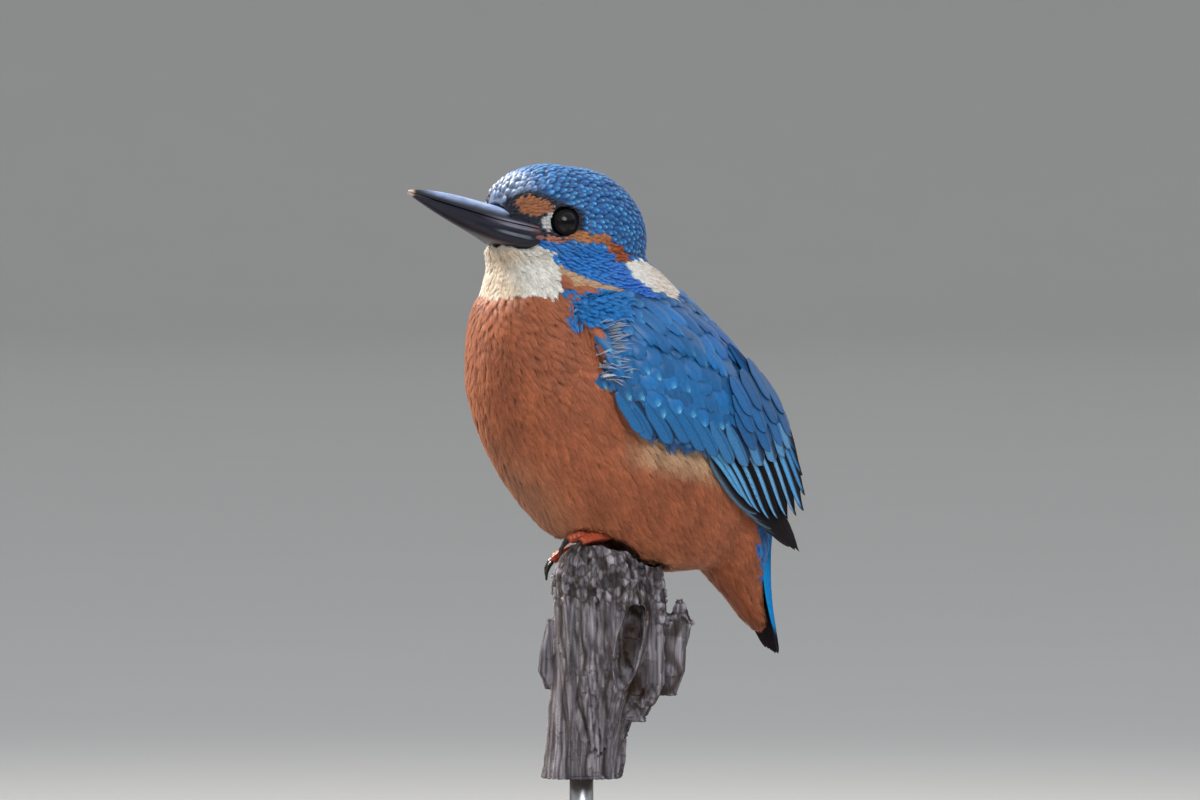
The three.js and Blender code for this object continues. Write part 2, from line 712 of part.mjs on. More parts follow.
function tailFan() {
  const sizes = table(TAIL_ROWS);
  const across = 4;
  const rings = easedSteps(9).map((share) => {
    const z = sizes.from + (sizes.to - sizes.from) * share;
    const [y, halfWidth, thick] = sizes.at(z);
    const back = [];
    const front = [];
    for (let i = 0; i <= across; i++) {
      const x = THREE.MathUtils.lerp(-halfWidth, halfWidth, i / across);
      const roof = TAIL_ROOF * (1 - (x / halfWidth) ** 2);
      back.push(new THREE.Vector3(x, y + roof, z));
      front.unshift(new THREE.Vector3(x, y + roof - thick, z));
    }
    return [...back, ...front];
  });
  const pole = (z) => new THREE.Vector3(0, sizes.at(z)[0] + TAIL_ROOF / 2, z);
  return solidOf(loft(rings, pole(sizes.from), pole(sizes.to)));
}

const wingRoom = wingBlank(1, GAP).add(wingBlank(-1, GAP));
const tail = clearOf(tailFan(), [trunkSkin(GAP), covertSkin(GAP), wingRoom]);
addNode("tail", largestOf(tail), BLUE, 0.6);

export default kingfisher;
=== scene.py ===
"""A common kingfisher on a cut perch, life-size: skin, feathers, bill, eyes, feet, perch and display stand.

Sizes inside this file are in millimetres unless a name says otherwise. Meshes are written in metres.
"""

import json
import math
from functools import partial

import bmesh
import bpy
import numpy as np
from bpy.props import FloatProperty, FloatVectorProperty, PointerProperty
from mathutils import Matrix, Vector, noise
from mathutils.bvhtree import BVHTree

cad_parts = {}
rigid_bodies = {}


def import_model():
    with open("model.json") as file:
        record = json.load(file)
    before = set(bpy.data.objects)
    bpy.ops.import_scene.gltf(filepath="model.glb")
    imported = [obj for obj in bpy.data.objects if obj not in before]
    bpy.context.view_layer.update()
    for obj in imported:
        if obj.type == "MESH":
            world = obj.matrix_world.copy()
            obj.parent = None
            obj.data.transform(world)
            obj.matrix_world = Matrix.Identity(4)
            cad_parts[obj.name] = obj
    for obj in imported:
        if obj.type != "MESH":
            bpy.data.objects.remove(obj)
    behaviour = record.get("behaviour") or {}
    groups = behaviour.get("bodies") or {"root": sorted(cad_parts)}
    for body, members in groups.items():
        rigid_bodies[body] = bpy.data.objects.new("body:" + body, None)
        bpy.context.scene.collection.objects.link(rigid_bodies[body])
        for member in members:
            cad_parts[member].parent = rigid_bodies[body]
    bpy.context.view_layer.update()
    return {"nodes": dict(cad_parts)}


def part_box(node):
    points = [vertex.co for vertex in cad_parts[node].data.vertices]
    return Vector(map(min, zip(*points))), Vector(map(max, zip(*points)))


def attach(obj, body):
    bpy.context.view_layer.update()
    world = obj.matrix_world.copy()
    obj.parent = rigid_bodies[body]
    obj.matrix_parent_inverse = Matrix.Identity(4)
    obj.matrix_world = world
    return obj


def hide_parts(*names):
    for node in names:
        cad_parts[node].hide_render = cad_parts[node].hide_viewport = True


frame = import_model()

bl_info = {
    "name": "Kingfisher display model",
    "version": (1, 0, 0),
    "blender": (4, 5, 0),
    "location": "View3D > Sidebar > Kingfisher",
    "description": "Builds a feathered kingfisher on a cut perch and a plain stand around its packed solids",
    "category": "Object",
}

MM = 0.001  # metres in a millimetre
SIDES = ((1, "left"), (-1, "right"))  # which way each side of the bird lies along X

# ---------------------------------------------------------------- places and proportions of the bird

HEAD_CENTRE = np.array([0.0, -7.6, 140.1])
HEAD_YAW = math.radians(13)  # the head is turned a little to the bird's left
HEAD_FORWARD = np.array([math.sin(HEAD_YAW), -math.cos(HEAD_YAW), 0.0])
HEAD_LEFT = np.array([math.cos(HEAD_YAW), math.sin(HEAD_YAW), 0.0])

EYE_RADIUS = 3.3
EYE_FORWARD = 8.3
EYE_ASIDE = 9.0
EYE_UP = 0.7

BILL_TIP = (41.8, 7.3)  # forward and up in the head's own directions
BILL_PITCH = math.radians(15.9)
BILL_PARTING = 0.3
# [behind the tip, half-width, depth above the mouth, depth below it]
BILL_ROWS = [(0.35, 0.35, 0.35, 0.28), (2, 0.75, 0.9, 0.65), (4, 1.1, 1.4, 1.15), (7.5, 1.6, 2.0, 1.95),
             (12.7, 2.4, 2.6, 2.95), (18, 3.3, 2.9, 3.7), (22, 4.4, 3.1, 4.1), (25, 6.3, 3.1, 4.3),
             (28, 8.6, 2.7, 4.3), (30.5, 9.2, 1.8, 3.9)]
BILL_START, BILL_LENGTH = BILL_ROWS[0][0], BILL_ROWS[-1][0]

# How high above the mouth's line the feathers start: [behind the bill's tip, height]
GAPE_ROWS = [(18, 6), (20, 4), (21.9, 2), (24.4, 1.4), (27.2, 0.7), (29.1, -1.3), (30.5, -3)]

WRIST = np.array([-15.0, 123.0])  # side view, (y, z)
WING_DROP = math.radians(41.3)
WING_ALONG = np.array([math.cos(WING_DROP), -math.sin(WING_DROP)])
WING_ACROSS = np.array([math.sin(WING_DROP), math.cos(WING_DROP)])
# [along from the wrist, lower edge, upper edge]
WING_ROWS = [(0, -0.5, 1.5), (3, -1.8, 6.5), (8, -4, 13), (14, -7.2, 18), (20, -10.9, 21), (26, -11.9, 22),
             (33, -9.4, 21.8), (41, -4.8, 20.6), (48, -1.8, 19), (56, -2.4, 16), (63.5, -3.6, 12.8),
             (70, -3.2, 8.8), (75, -2.2, 5), (79.2, -0.5, 0.6)]
# The wing's outer face, as level slices: [z, centre y, half-depth, half-width]
WING_FACE_ROWS = [(134, -4, 16, 10), (129, -4, 21.5, 15.5), (124.3, -4, 25.2, 19.4), (120, -2, 28.2, 22.6),
                  (115.9, -0.3, 30.6, 24.2), (111.7, 1.3, 32.2, 25), (107.5, 2.9, 33.7, 25.4),
                  (103.3, 4.7, 35, 25.5), (99.1, 6.6, 35.6, 25.3), (94.9, 8.2, 35.4, 24.7),
                  (90.7, 9.8, 34.8, 23.7), (86.5, 11.5, 34.2, 22.3), (82.3, 13, 33.8, 20.6),
                  (78.1, 15, 33.2, 18.6), (73.9, 17, 32.2, 16.6), (69.5, 19, 31, 14.6)]
# The tail, as level slices: [z, y, half-width, thickness]
TAIL_ROWS = [(86, 39, 5, 1), (80, 39.4, 6.4, 1.5), (70, 38.6, 6.3, 1.6), (60, 38.9, 5.8, 1.5),
             (53, 40.2, 5.2, 1.2), (49.8, 40.9, 4.2, 1), (48.4, 41.1, 2.4, 0.8)]
TAIL_POINT = np.array([0.0, 46.0, 42.0])  # where the lie of the body's feathers leads

# Outlines of the head's markings, side view: (forward, up) from the head's centre
LORE_SPOT = [(17.9, 4.6), (16.9, 5.8), (14.7, 6.4), (12.9, 5.4), (11.9, 4.0), (12.2, 3.1),
             (13.6, 2.4), (15.5, 2.0), (17.2, 2.9)]
WHITE_FLECK = [(13.1, -0.9), (14.1, 0.6), (13.5, 1.9), (12.4, 3.2), (11.0, 3.3), (10.6, 1.9), (11.2, 0.2)]
DARK_MASK = [(21, 3.8), (18.3, 6.0), (14.7, 7.4), (12.0, 6.2), (9.5, 4.9), (6.0, 3.6), (4.8, 0.6),
             (6.2, -1.4), (10.5, -2.4), (14.8, -1.2), (21, 1.5)]
EAR_PATCH = [(9.6, -2.7), (8.9, -2.1), (6.3, -1.3), (4.0, -1.0), (0.4, -1.9), (-3.1, -3.6),
             (-5.9, -5.3), (-6.8, -7.0), (-4.6, -8.0), (-3.0, -7.2), (-1.5, -5.5), (1.6, -3.9),
             (5.3, -3.1), (8.1, -3.1)]
GAPE_LINE = [(14.8, -1.3), (12.4, -2.0), (10.5, -2.6), (9.0, -2.2), (9.0, -3.1), (10.5, -3.4),
             (12.4, -2.9), (14.6, -2.3)]
MOUSTACHE = [(13.9, -2.6), (13.3, -2.9), (10.5, -3.5), (8.4, -3.5), (4.1, -3.7), (1.6, -4.3),
             (-1.5, -5.9), (-3.0, -8.0), (-4.9, -9.8), (-7.0, -11.8), (-8.8, -14.6), (-6.0, -14.5),
             (-2.6, -13.4), (0.9, -12.2), (4.7, -10.7), (8.3, -9.0), (10.8, -7.2), (12.8, -4.9),
             (13.9, -3.9)]
CREAM_LINE = [(11.2, -6.9), (8.3, -8.2), (4.7, -9.9), (0.9, -11.4), (-0.6, -12.3), (-0.4, -13.6),
              (3.5, -12.5), (6.0, -11.9), (9.3, -11.3)]
NECK_PATCH = [(-3.4, -7.4), (-8.7, -6.6), (-13, -7.2), (-18, -8.6), (-20, -13), (-14, -15),
              (-10, -13.8), (-7.6, -12.6), (-5.3, -10.2)]
THROAT = [(23, -2.0), (14.8, -3.2), (13.0, -4.6), (11.4, -7.1), (10.8, -9.0), (10.6, -11.4),
          (11.6, -13.0), (13.0, -14.3), (15, -13.0), (17.5, -13.8), (23, -14.2)]
# The blue patch at the bend of the wing, side view: (y, z)
SHOULDER_PATCH = [(-15.6, 127.4), (-14.6, 124.8), (-16.0, 121.7), (-15.0, 119.2), (-11.9, 120.4),
                  (-9.5, 119.8), (-4.0, 121.5), (-1.6, 125.8), (-7.5, 127.6)]

(CROWN, MASK, LORE, FLECK, EAR, GAPE, MALAR, NECK_SIDE, CREAM, CHIN, BREAST, SHOULDER, WING, MANTLE,
 RUMP) = range(15)

# ---------------------------------------------------------------- settings that a user would change


def length(name, description, default_mm):
    return FloatProperty(name=name, description=description, default=default_mm * MM, min=0,
                         unit="LENGTH", precision=5)


def colour(name, description, default):
    return FloatVectorProperty(name=name, description=description, default=default, size=3,
                               subtype="COLOR", min=0, max=1)


class PlumageSettings(bpy.types.PropertyGroup):
    coat_depth: length("Coat depth", "How far the skin lies inside the feathered outline", 1.0)
    skin_voxel: length("Skin detail", "Size of the skin's faces", 0.6)
    patch: FloatProperty(name="Bake patch", description="Width of a feather's patch in its map",
                         default=0.003)
    crown: colour("Crown", "Dark blue between the crown's spots", (0.006, 0.075, 0.25))
    spot: colour("Spots", "Bright spots of the crown and wing", (0.16, 0.62, 0.98))
    moustache: colour("Moustache", "Bright blue stripe below the cheek", (0.004, 0.16, 0.55))
    wing: colour("Wing", "Deep blue of the wing's coverts", (0.006, 0.12, 0.33))
    azure: colour("Azure", "Brilliant blue of the back and rump", (0.02, 0.30, 0.72))
    edge: colour("Feather edges", "Sky blue outer edges of the flight feathers", (0.12, 0.39, 0.72))
    flight: colour("Flight feathers", "Dark inner webs and tips", (0.018, 0.0135, 0.016))
    orange: colour("Breast", "Rich orange-brown of the breast", (0.40, 0.113, 0.046))
    buff: colour("Belly", "Paler centre of the belly", (0.47, 0.20, 0.10))
    white: colour("White", "Throat and sides of the neck", (0.84, 0.79, 0.70))
    mask: colour("Mask", "Dark feathers round the eye", (0.010, 0.014, 0.03))


class HardPartSettings(bpy.types.PropertyGroup):
    bill: colour("Bill", "Black horn of the bill", (0.012, 0.012, 0.018))
    bill_tip: colour("Bill tip", "Pale tip of a young bird's bill", (0.55, 0.38, 0.30))
    iris: colour("Iris", "Dark brown iris", (0.009, 0.005, 0.004))
    foot: colour("Foot", "Orange-red skin of the feet", (0.52, 0.085, 0.03))
    claw: colour("Claw", "Dark horn of the claws", (0.02, 0.016, 0.014))


class MountSettings(bpy.types.PropertyGroup):
    wood: colour("Perch wood", "Weathered grey face of the perch", (0.26, 0.24, 0.26))
    # This brown is also laid as painted shade in the perch's cracks and in the gaps between its chips.
    hollow_wood_and_shade: colour("Hollow wood", "Brown rotten wood in the perch", (0.035, 0.018, 0.010))
    base: colour("Base wood", "Turned wood of the base", (0.115, 0.052, 0.024))
    base_edge: length("Base edge", "Rounding of the base's upper edge", 2.2)
    steel: colour("Steel", "Brushed steel of the rod", (0.50, 0.50, 0.51))


class StageSettings(bpy.types.PropertyGroup):
    floor: colour("Floor", "Pale studio floor", (0.44, 0.43, 0.415))
    aim_height: length("Aim height", "Height that the camera looks at", 103.3)
    distance: FloatProperty(name="Distance", description="Camera to bird", default=2.0, unit="LENGTH")
    lens: FloatProperty(name="Lens", description="Focal length in millimetres", default=285.7)
    azimuth: FloatProperty(name="Azimuth", description="Side that the camera stands on",
                           default=math.radians(65), subtype="ANGLE")
    elevation: FloatProperty(name="Elevation", description="Camera above the level",
                             default=math.radians(2), subtype="ANGLE")
    key: FloatProperty(name="Key light", description="Watts of the high light behind", default=2.05)
    fill: FloatProperty(name="Fill light", description="Watts of the soft light", default=2.2)
    air: FloatProperty(name="Air", description="Strength of the light from all round", default=0.82)


class KingfisherSettings(bpy.types.PropertyGroup):
    plumage: PointerProperty(type=PlumageSettings)
    hard: PointerProperty(type=HardPartSettings)
    mount: PointerProperty(type=MountSettings)
    stage: PointerProperty(type=StageSettings)


# ---------------------------------------------------------------- arithmetic on arrays of points


def rgb(*parts):
    return np.array(parts)


def unit(vectors):
    return vectors / np.maximum(np.linalg.norm(vectors, axis=-1, keepdims=True), 1e-9)


def dot(a, b):
    return (a * b).sum(-1)


def along_surface(ways, normals):
    """The part of each direction that runs along a surface."""
    return unit(ways - normals * dot(ways, normals)[..., None])


def ease(low, high, value):
    t = np.clip((value - low) / (high - low), 0, 1)
    return t * t * (3 - 2 * t)


def blend(a, b, share):
    """Colours between a and b."""
    return a + (b - a) * np.asarray(share)[..., None]


def read_rows(rows, at):
    """The later columns of a table, read smoothly at values of its first one."""
    table = np.array(sorted(rows), float)
    x = table[:, 0]
    slopes = np.gradient(table[:, 1:], x, axis=0)
    at = np.clip(at, x[0], x[-1])
    i = np.clip(np.searchsorted(x, at) - 1, 0, len(x) - 2)
    width = x[i + 1] - x[i]
    t = ((at - x[i]) / width)[..., None]
    width = width[..., None]
    a, b = table[i, 1:], table[i + 1, 1:]
    smooth = (a * (1 + 2 * t) * (1 - t) ** 2 + slopes[i] * width * t * (1 - t) ** 2
              + b * t * t * (3 - 2 * t) + slopes[i + 1] * width * t * t * (t - 1))
    return [smooth[..., k] for k in range(smooth.shape[-1])]


def noise_at(across, out, up, scale):
    """Smooth noise from -1 to 1 at each point. scale is one size in millimetres for each direction."""
    return np.array([noise.noise(Vector((a / scale[0], b / scale[1], c / scale[2])))
                     for a, b, c in zip(across, out, up)])


def inside(outline, x, y):
    """True where a point lies in a closed outline."""
    found = np.zeros(np.shape(x), bool)
    corners = list(outline)
    for (xa, ya), (xb, yb) in zip(corners, corners[1:] + corners[:1]):
        if ya == yb:
            continue
        crosses = (y < ya) != (y < yb)
        found ^= crosses & (x < (xb - xa) * (y - ya) / (yb - ya) + xa)
    return found


def head_place(forward, aside, up):
    """Points of the head's own directions, in the bird's frame."""
    return (HEAD_CENTRE + np.multiply.outer(forward, HEAD_FORWARD) + np.multiply.outer(aside, HEAD_LEFT)
            + np.multiply.outer(up, (0, 0, 1)))


def head_read(points):
    offset = points - HEAD_CENTRE
    return offset @ HEAD_FORWARD, offset @ HEAD_LEFT, offset[..., 2]


def bill_read(points):
    """Behind the bill's tip, across, and above the mouth's line."""
    forward, aside, up = head_read(points)
    back, drop = BILL_TIP[0] - forward, BILL_TIP[1] - up
    run, rise = math.cos(BILL_PITCH), math.sin(BILL_PITCH)
    return back * run + drop * rise, aside, back * rise - drop * run


def bill_power(behind, lift):
    """How boxy the bill's section is: round above the mouth, and squarer below it near the head."""
    return np.where(lift > 0, 1.75, 1.75 + 1.7 * ease(14, 25, behind))


def bill_reach(behind, lift):
    """The bill's half-width at a height above or below the mouth's line."""
    half_width, above, below = read_rows(BILL_ROWS, behind)
    power = bill_power(behind, lift)
    share = np.abs(lift) / np.where(lift > 0, above, below)
    return half_width * np.clip(1 - share**power, 0, 1) ** (1 / power)


def bare_share(points):
    """1 where the bill's horn takes the place of feathered skin, 0 elsewhere."""
    behind, _, lift = bill_read(points)
    top = read_rows(GAPE_ROWS, behind)[0]
    bottom = -read_rows(BILL_ROWS, behind)[2]
    return (ease(top + 0.4, top - 0.1, lift) * ease(bottom - 0.4, bottom + 0.1, lift)
            * ease(30.2, 29.2, behind))


def wing_read(points):
    offset = points[..., 1:] - WRIST
    return offset @ WING_ALONG, offset @ WING_ACROSS


def wing_edges(along):
    """The folded wing's lower and upper edge."""
    return read_rows(WING_ROWS, along)


def wing_spot(along, across):
    """(y, z) of a place given along and across the folded wing."""
    spot = WRIST + np.multiply.outer(along, WING_ALONG) + np.multiply.outer(across, WING_ACROSS)
    return spot[..., 0], spot[..., 1]


def slanted(slant):
    """(along, across) one unit away, at an angle to the wing's length."""
    return np.stack([np.cos(slant), np.sin(slant)], -1)


def wing_way(slant):
    """The same as a direction in the bird's frame."""
    y, z = wing_spot(np.cos(slant), np.sin(slant))
    return np.stack([np.zeros(np.shape(slant)), y - WRIST[0], z - WRIST[1]], -1)


def wing_face(y, z):
    """How far out the folded wing's face is, at a place in side view."""
    centre, half_depth, half_width = read_rows(WING_FACE_ROWS, z)
    reach = np.clip((y - centre) / half_depth, -0.985, 0.985)
    return half_width * np.sqrt(1 - reach * reach)


def lay_on_wing(side, along, across, height):
    """Points that height above the wing's face, on the left (side 1) or right (side -1) wing."""
    y, z = wing_spot(along, across)
    step = 0.5
    out = wing_face(y, z)
    lean_y = np.clip((wing_face(y + step, z) - wing_face(y - step, z)) / (2 * step), -1.6, 1.6)
    lean_z = np.clip((wing_face(y, z + step) - wing_face(y, z - step)) / (2 * step), -1.6, 1.6)
    normal = unit(np.stack([np.ones_like(out), -lean_y, -lean_z], -1))
    points = np.stack([out, y, z], -1) + normal * np.asarray(height)[..., None]
    return points * np.array([side, 1.0, 1.0])


# ---------------------------------------------------------------- meshes and pieces


def write_mesh(name, points_mm, faces):
    mesh = bpy.data.meshes.new(name)
    mesh.from_pydata((np.asarray(points_mm, float) * MM).tolist(), [], [list(f) for f in faces])
    mesh.shade_smooth()
    mesh.update()
    return mesh


def add_object(name, mesh):
    piece = bpy.data.objects.new(name, mesh)
    bpy.context.scene.collection.objects.link(piece)
    return piece


def hand_over(piece, material=None, nodes=()):
    """Gives a finished piece its material and its body, and hides the solids that it stands for."""
    if material is not None:
        piece.data.materials.clear()
        piece.data.materials.append(material)
    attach(piece, "root")
    if nodes:
        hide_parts(*nodes)
    return piece


def points_of(mesh):
    flat = np.zeros(len(mesh.vertices) * 3)
    mesh.vertices.foreach_get("co", flat)
    return flat.reshape(-1, 3) / MM


def set_points(mesh, points_mm):
    mesh.vertices.foreach_set("co", (points_mm * MM).ravel())
    mesh.update()


def normals_of(mesh):
    flat = np.zeros(len(mesh.vertices) * 3)
    mesh.vertex_normals.foreach_get("vector", flat)
    return flat.reshape(-1, 3)


def read_attribute(mesh, name, kind=np.float32):
    data = mesh.attributes[name].data
    values = np.zeros(len(data), kind)
    data.foreach_get("value", values)
    return values


def write_attribute(mesh, name, values):
    """Stores whole numbers, other numbers or rows of three on a mesh's points."""
    values = np.asarray(values)
    if values.ndim > 1:
        form, part, kind = "FLOAT_VECTOR", "vector", np.float32
    elif values.dtype.kind == "i":
        form, part, kind = "INT", "value", np.int32
    else:
        form, part, kind = "FLOAT", "value", np.float32
    mesh.attributes.new(name, form, "POINT").data.foreach_set(part, values.astype(kind).ravel())


def write_colours(mesh, colours, name="plumage"):
    attribute = mesh.attributes.get(name) or mesh.color_attributes.new(name, "FLOAT_COLOR", "POINT")
    rgba = np.ones((len(mesh.vertices), 4), np.float32)
    rgba[:, :3] = np.clip(colours, 0, 1)
    attribute.data.foreach_set("color", rgba.ravel())


def apply_modifiers(piece):
    """Puts a plain mesh of the evaluated piece in the place of its own, and takes its modifiers off."""
    before = piece.data
    bpy.context.view_layer.update()
    graph = bpy.context.evaluated_depsgraph_get()
    after = bpy.data.meshes.new_from_object(piece.evaluated_get(graph), depsgraph=graph)
    piece.modifiers.clear()
    piece.data = after
    bpy.data.meshes.remove(before)
    after.name = piece.name
    return after


def add_smoothing(piece, iterations):
    smooth = piece.modifiers.new("smooth", "SMOOTH")
    smooth.factor = 0.5
    smooth.iterations = iterations


def keep_largest_island(mesh):
    """Drops every loose bit of a mesh but the largest."""
    bm = bmesh.new()
    bm.from_mesh(mesh)
    waiting = set(bm.verts)
    islands = []
    while waiting:
        front = [waiting.pop()]
        islands.append(set(front))
        while front:
            vertex = front.pop()
            near = {edge.other_vert(vertex) for edge in vertex.link_edges} & waiting
            waiting -= near
            islands[-1] |= near
            front += near
    kept = max(islands, key=len)
    bmesh.ops.delete(bm, geom=[v for v in bm.verts if v not in kept], context="VERTS")
    bm.to_mesh(mesh)
    bm.free()
    mesh.update()


def solid_skin(name, nodes, voxel_mm, grow=0.0, smoothing=6):
    """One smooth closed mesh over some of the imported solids."""
    rough = bpy.data.meshes.new(name)
    joined = bmesh.new()
    for node in nodes:
        bm = bmesh.new()
        bm.from_mesh(frame["nodes"][node].data)
        bmesh.ops.remove_doubles(bm, verts=bm.verts, dist=1e-6)
        bm.normal_update()
        for vertex in bm.verts:
            vertex.co += vertex.normal * (grow * MM)
        bm.to_mesh(rough)
        bm.free()
        joined.from_mesh(rough)
    joined.to_mesh(rough)
    joined.free()
    piece = add_object(name, rough)
    remesh = piece.modifiers.new("remesh", "REMESH")
    remesh.mode = "VOXEL"
    remesh.voxel_size = voxel_mm * MM
    add_smoothing(piece, smoothing)
    mesh = apply_modifiers(piece)
    keep_largest_island(mesh)
    mesh.shade_smooth()
    return piece


def quads(grid):
    """The four-sided faces of a grid of point numbers."""
    corners = grid[:-1, :-1], grid[:-1, 1:], grid[1:, 1:], grid[1:, :-1]
    return np.stack(corners, -1).reshape(-1, 4).tolist()


def closed_loft(rings, first_pole, last_pole=None):
    """Points and faces of a surface through rings of equal count, open where it has no last pole."""
    grid = 1 + np.arange(len(rings) * len(rings[0])).reshape(len(rings), -1)
    grid = np.pad(grid, ((0, 0), (0, 1)), mode="wrap")
    faces = quads(grid) + [(0, b, a) for a, b in zip(grid[0], grid[0, 1:])]
    points = [[first_pole], *rings]
    if last_pole is not None:
        points.append([last_pole])
        last = grid.max() + 1
        faces += [(a, b, last) for a, b in zip(grid[-1], grid[-1, 1:])]
    return np.concatenate(points), faces


def outward(mesh, merge=True):
    """Turns a closed mesh's faces outwards."""
    bm = bmesh.new()
    bm.from_mesh(mesh)
    if merge:
        bmesh.ops.remove_doubles(bm, verts=bm.verts, dist=1e-7)
    bmesh.ops.recalc_face_normals(bm, faces=bm.faces)
    bm.to_mesh(mesh)
    bm.free()
    mesh.update()


# ---------------------------------------------------------------- materials


def add_node(tree, kind, inputs=None, **settings):
    """A node with its settings, and with its inputs linked or filled in."""
    made = tree.nodes.new(kind)
    for key, value in settings.items():
        setattr(made, key, value)
    for key, value in (inputs or {}).items():
        if isinstance(value, bpy.types.NodeSocket):
            tree.links.new(value, made.inputs[key])
        else:
            made.inputs[key].default_value = value
    return made


class Finish:
    """A material's node tree, built one node at a time."""

    def __init__(self, name, roughness, specular=0.5, **constants):
        self.material = bpy.data.materials.new(name)
        self.material.use_nodes = True
        self.tree = self.material.node_tree
        self.node = partial(add_node, self.tree)
        self.surface = self.tree.nodes["Principled BSDF"]
        fixed = {"Roughness": roughness, "Specular IOR Level": specular, **constants}
        for key, value in fixed.items():
            self.surface.inputs[key.replace("_", " ")].default_value = value

    def feed(self, name, source):
        self.tree.links.new(source, self.surface.inputs[name])

    def place(self, stretch=(1, 1, 1)):
        """Object coordinates in metres, stretched."""
        where = self.node("ShaderNodeTexCoord").outputs["Object"]
        return self.node("ShaderNodeMapping", {"Vector": where, "Scale": stretch}).outputs["Vector"]

    def grain(self, per_metre, stretch=(1, 1, 1), detail=4.0, roughness=0.6):
        return self.node("ShaderNodeTexNoise", {
            "Vector": self.place(stretch), "Scale": per_metre, "Detail": detail,
            "Roughness": roughness}).outputs["Fac"]

    def ramp(self, factor, *stops):
        """Tones between stops, each (place, shade), where a shade is a colour or one grey."""
        made = self.node("ShaderNodeValToRGB", {"Fac": factor})
        ramp = made.color_ramp
        while len(ramp.elements) < len(stops):
            ramp.elements.new(0.5)
        for element, (place, shade) in zip(ramp.elements, stops):
            element.position = place
            element.color = (*(np.ones(3) * shade), 1)
        return made.outputs["Color"]

    def multiply(self, a, b, factor=1.0):
        return self.node("ShaderNodeMix", {0: factor, 6: a, 7: b}, data_type="RGBA",
                         blend_type="MULTIPLY").outputs[2]

    def colour(self, source):
        self.feed("Base Color", source)

    def paint(self, attribute, pattern):
        """Colours the surface by a mesh attribute, made uneven by a pattern."""
        painted = self.node("ShaderNodeAttribute", attribute_name=attribute).outputs["Color"]
        self.colour(self.multiply(painted, pattern))

    def roughness(self, factor, low, high):
        made = self.node("ShaderNodeMapRange", {"Value": factor, "To Min": low, "To Max": high})
        self.feed("Roughness", made.outputs["Result"])

    def bump(self, height, strength, distance):
        made = self.node("ShaderNodeBump", {"Height": height, "Strength": strength, "Distance": distance})
        self.feed("Normal", made.outputs["Normal"])


def plumage_finish(name, roughness, sheen, gloss, shine=(1, 1, 1), specular=0.35):
    """Feathers: painted barbs with a fine uneven tone, and the soft shine of their kind."""
    finish = Finish(name, roughness, specular, Sheen_Weight=sheen, Sheen_Roughness=0.45,
                    Sheen_Tint=(*shine, 1), Coat_Weight=gloss, Coat_Roughness=0.35)
    finish.paint("plumage", finish.ramp(finish.grain(2600, detail=3.0), (0.3, 0.80), (0.7, 1.12)))
    finish.bump(finish.grain(6000, detail=2.0), 0.25, 0.0001)
    finish.roughness(finish.grain(1200), roughness - 0.08, roughness + 0.10)
    return finish.material


def bird_settings():
    return bpy.context.scene.kingfisher


# ---------------------------------------------------------------- which feathers grow where


def tract_of(points):
    """The kind of plumage at each point of the skin."""
    forward, aside, up = head_read(points)
    along, across = wing_read(points)
    reach = np.abs(points[:, 0])
    y, z = points[:, 1], points[:, 2]
    low, high = wing_edges(along)
    kind = np.full(len(points), BREAST)
    kind[(across > low + 2.0) & (along > 1.0)] = MANTLE
    kind[(z > 125) & (forward < 3)] = MANTLE
    kind[(kind == MANTLE) & (z < 96) & (reach < 12)] = RUMP
    tail_side = (z < 84) & (along > 48)
    below = y < 35.0 + 0.344 * (64 - z)
    kind[tail_side & below & (across < low + 4)] = BREAST
    kind[tail_side & ~below & (reach < 12)] = RUMP
    lift = 0.6 + 2.6 * ease(12, 20, along)
    on_wing = (across > low + lift) & (across < high + 1.5) & (along > 0.5) & (reach > 11)
    kind[on_wing & (along < 62)] = WING
    kind[(across + 1.29 * along < 10.8) & (z < 121.5) & (z > 100)] = BREAST
    kind[inside(SHOULDER_PATCH, y, z) & (reach > 9)] = SHOULDER
    on_head = up > -9.5 + 0.12 * forward
    kind[on_head] = CROWN
    kind[on_head & (up < 1) & (forward > 13)] = CHIN
    kind[on_head & (np.abs(up) < 3.6) & (forward > 10) & (np.abs(aside) > 5)] = MASK
    flank = np.abs(aside) > 2.4
    for outline, name in ((THROAT, CHIN), (NECK_PATCH, NECK_SIDE), (CREAM_LINE, CREAM),
                          (DARK_MASK, MASK), (MOUSTACHE, MALAR), (EAR_PATCH, EAR),
                          (GAPE_LINE, GAPE), (LORE_SPOT, LORE), (WHITE_FLECK, FLECK)):
        kind[inside(outline, forward, up) & (flank | (name == CHIN))] = name
    near_eye = np.hypot(forward - EYE_FORWARD, up - EYE_UP) < 3.7
    kind[near_eye & (np.abs(aside) > 6) & (kind == CROWN)] = MASK
    return kind


def lie_of(points, normals):
    """The direction in which feathers lie, along the skin."""
    forward, _, up = head_read(points)
    from_bill = unit(points - head_place(21.0, 0.0, 1.5))
    to_tail = unit(TAIL_POINT - points)
    along, across = wing_read(points)
    wing = wing_way(np.radians(-15 - 0.8 * np.clip(across, 0, 18)))
    body = blend(to_tail, wing, ease(4, 14, along) * ease(8, 14, np.abs(points[:, 0])))
    way = blend(body, from_bill, ease(-17.5, -9.5, up - 0.25 * forward))
    return along_surface(way, normals)


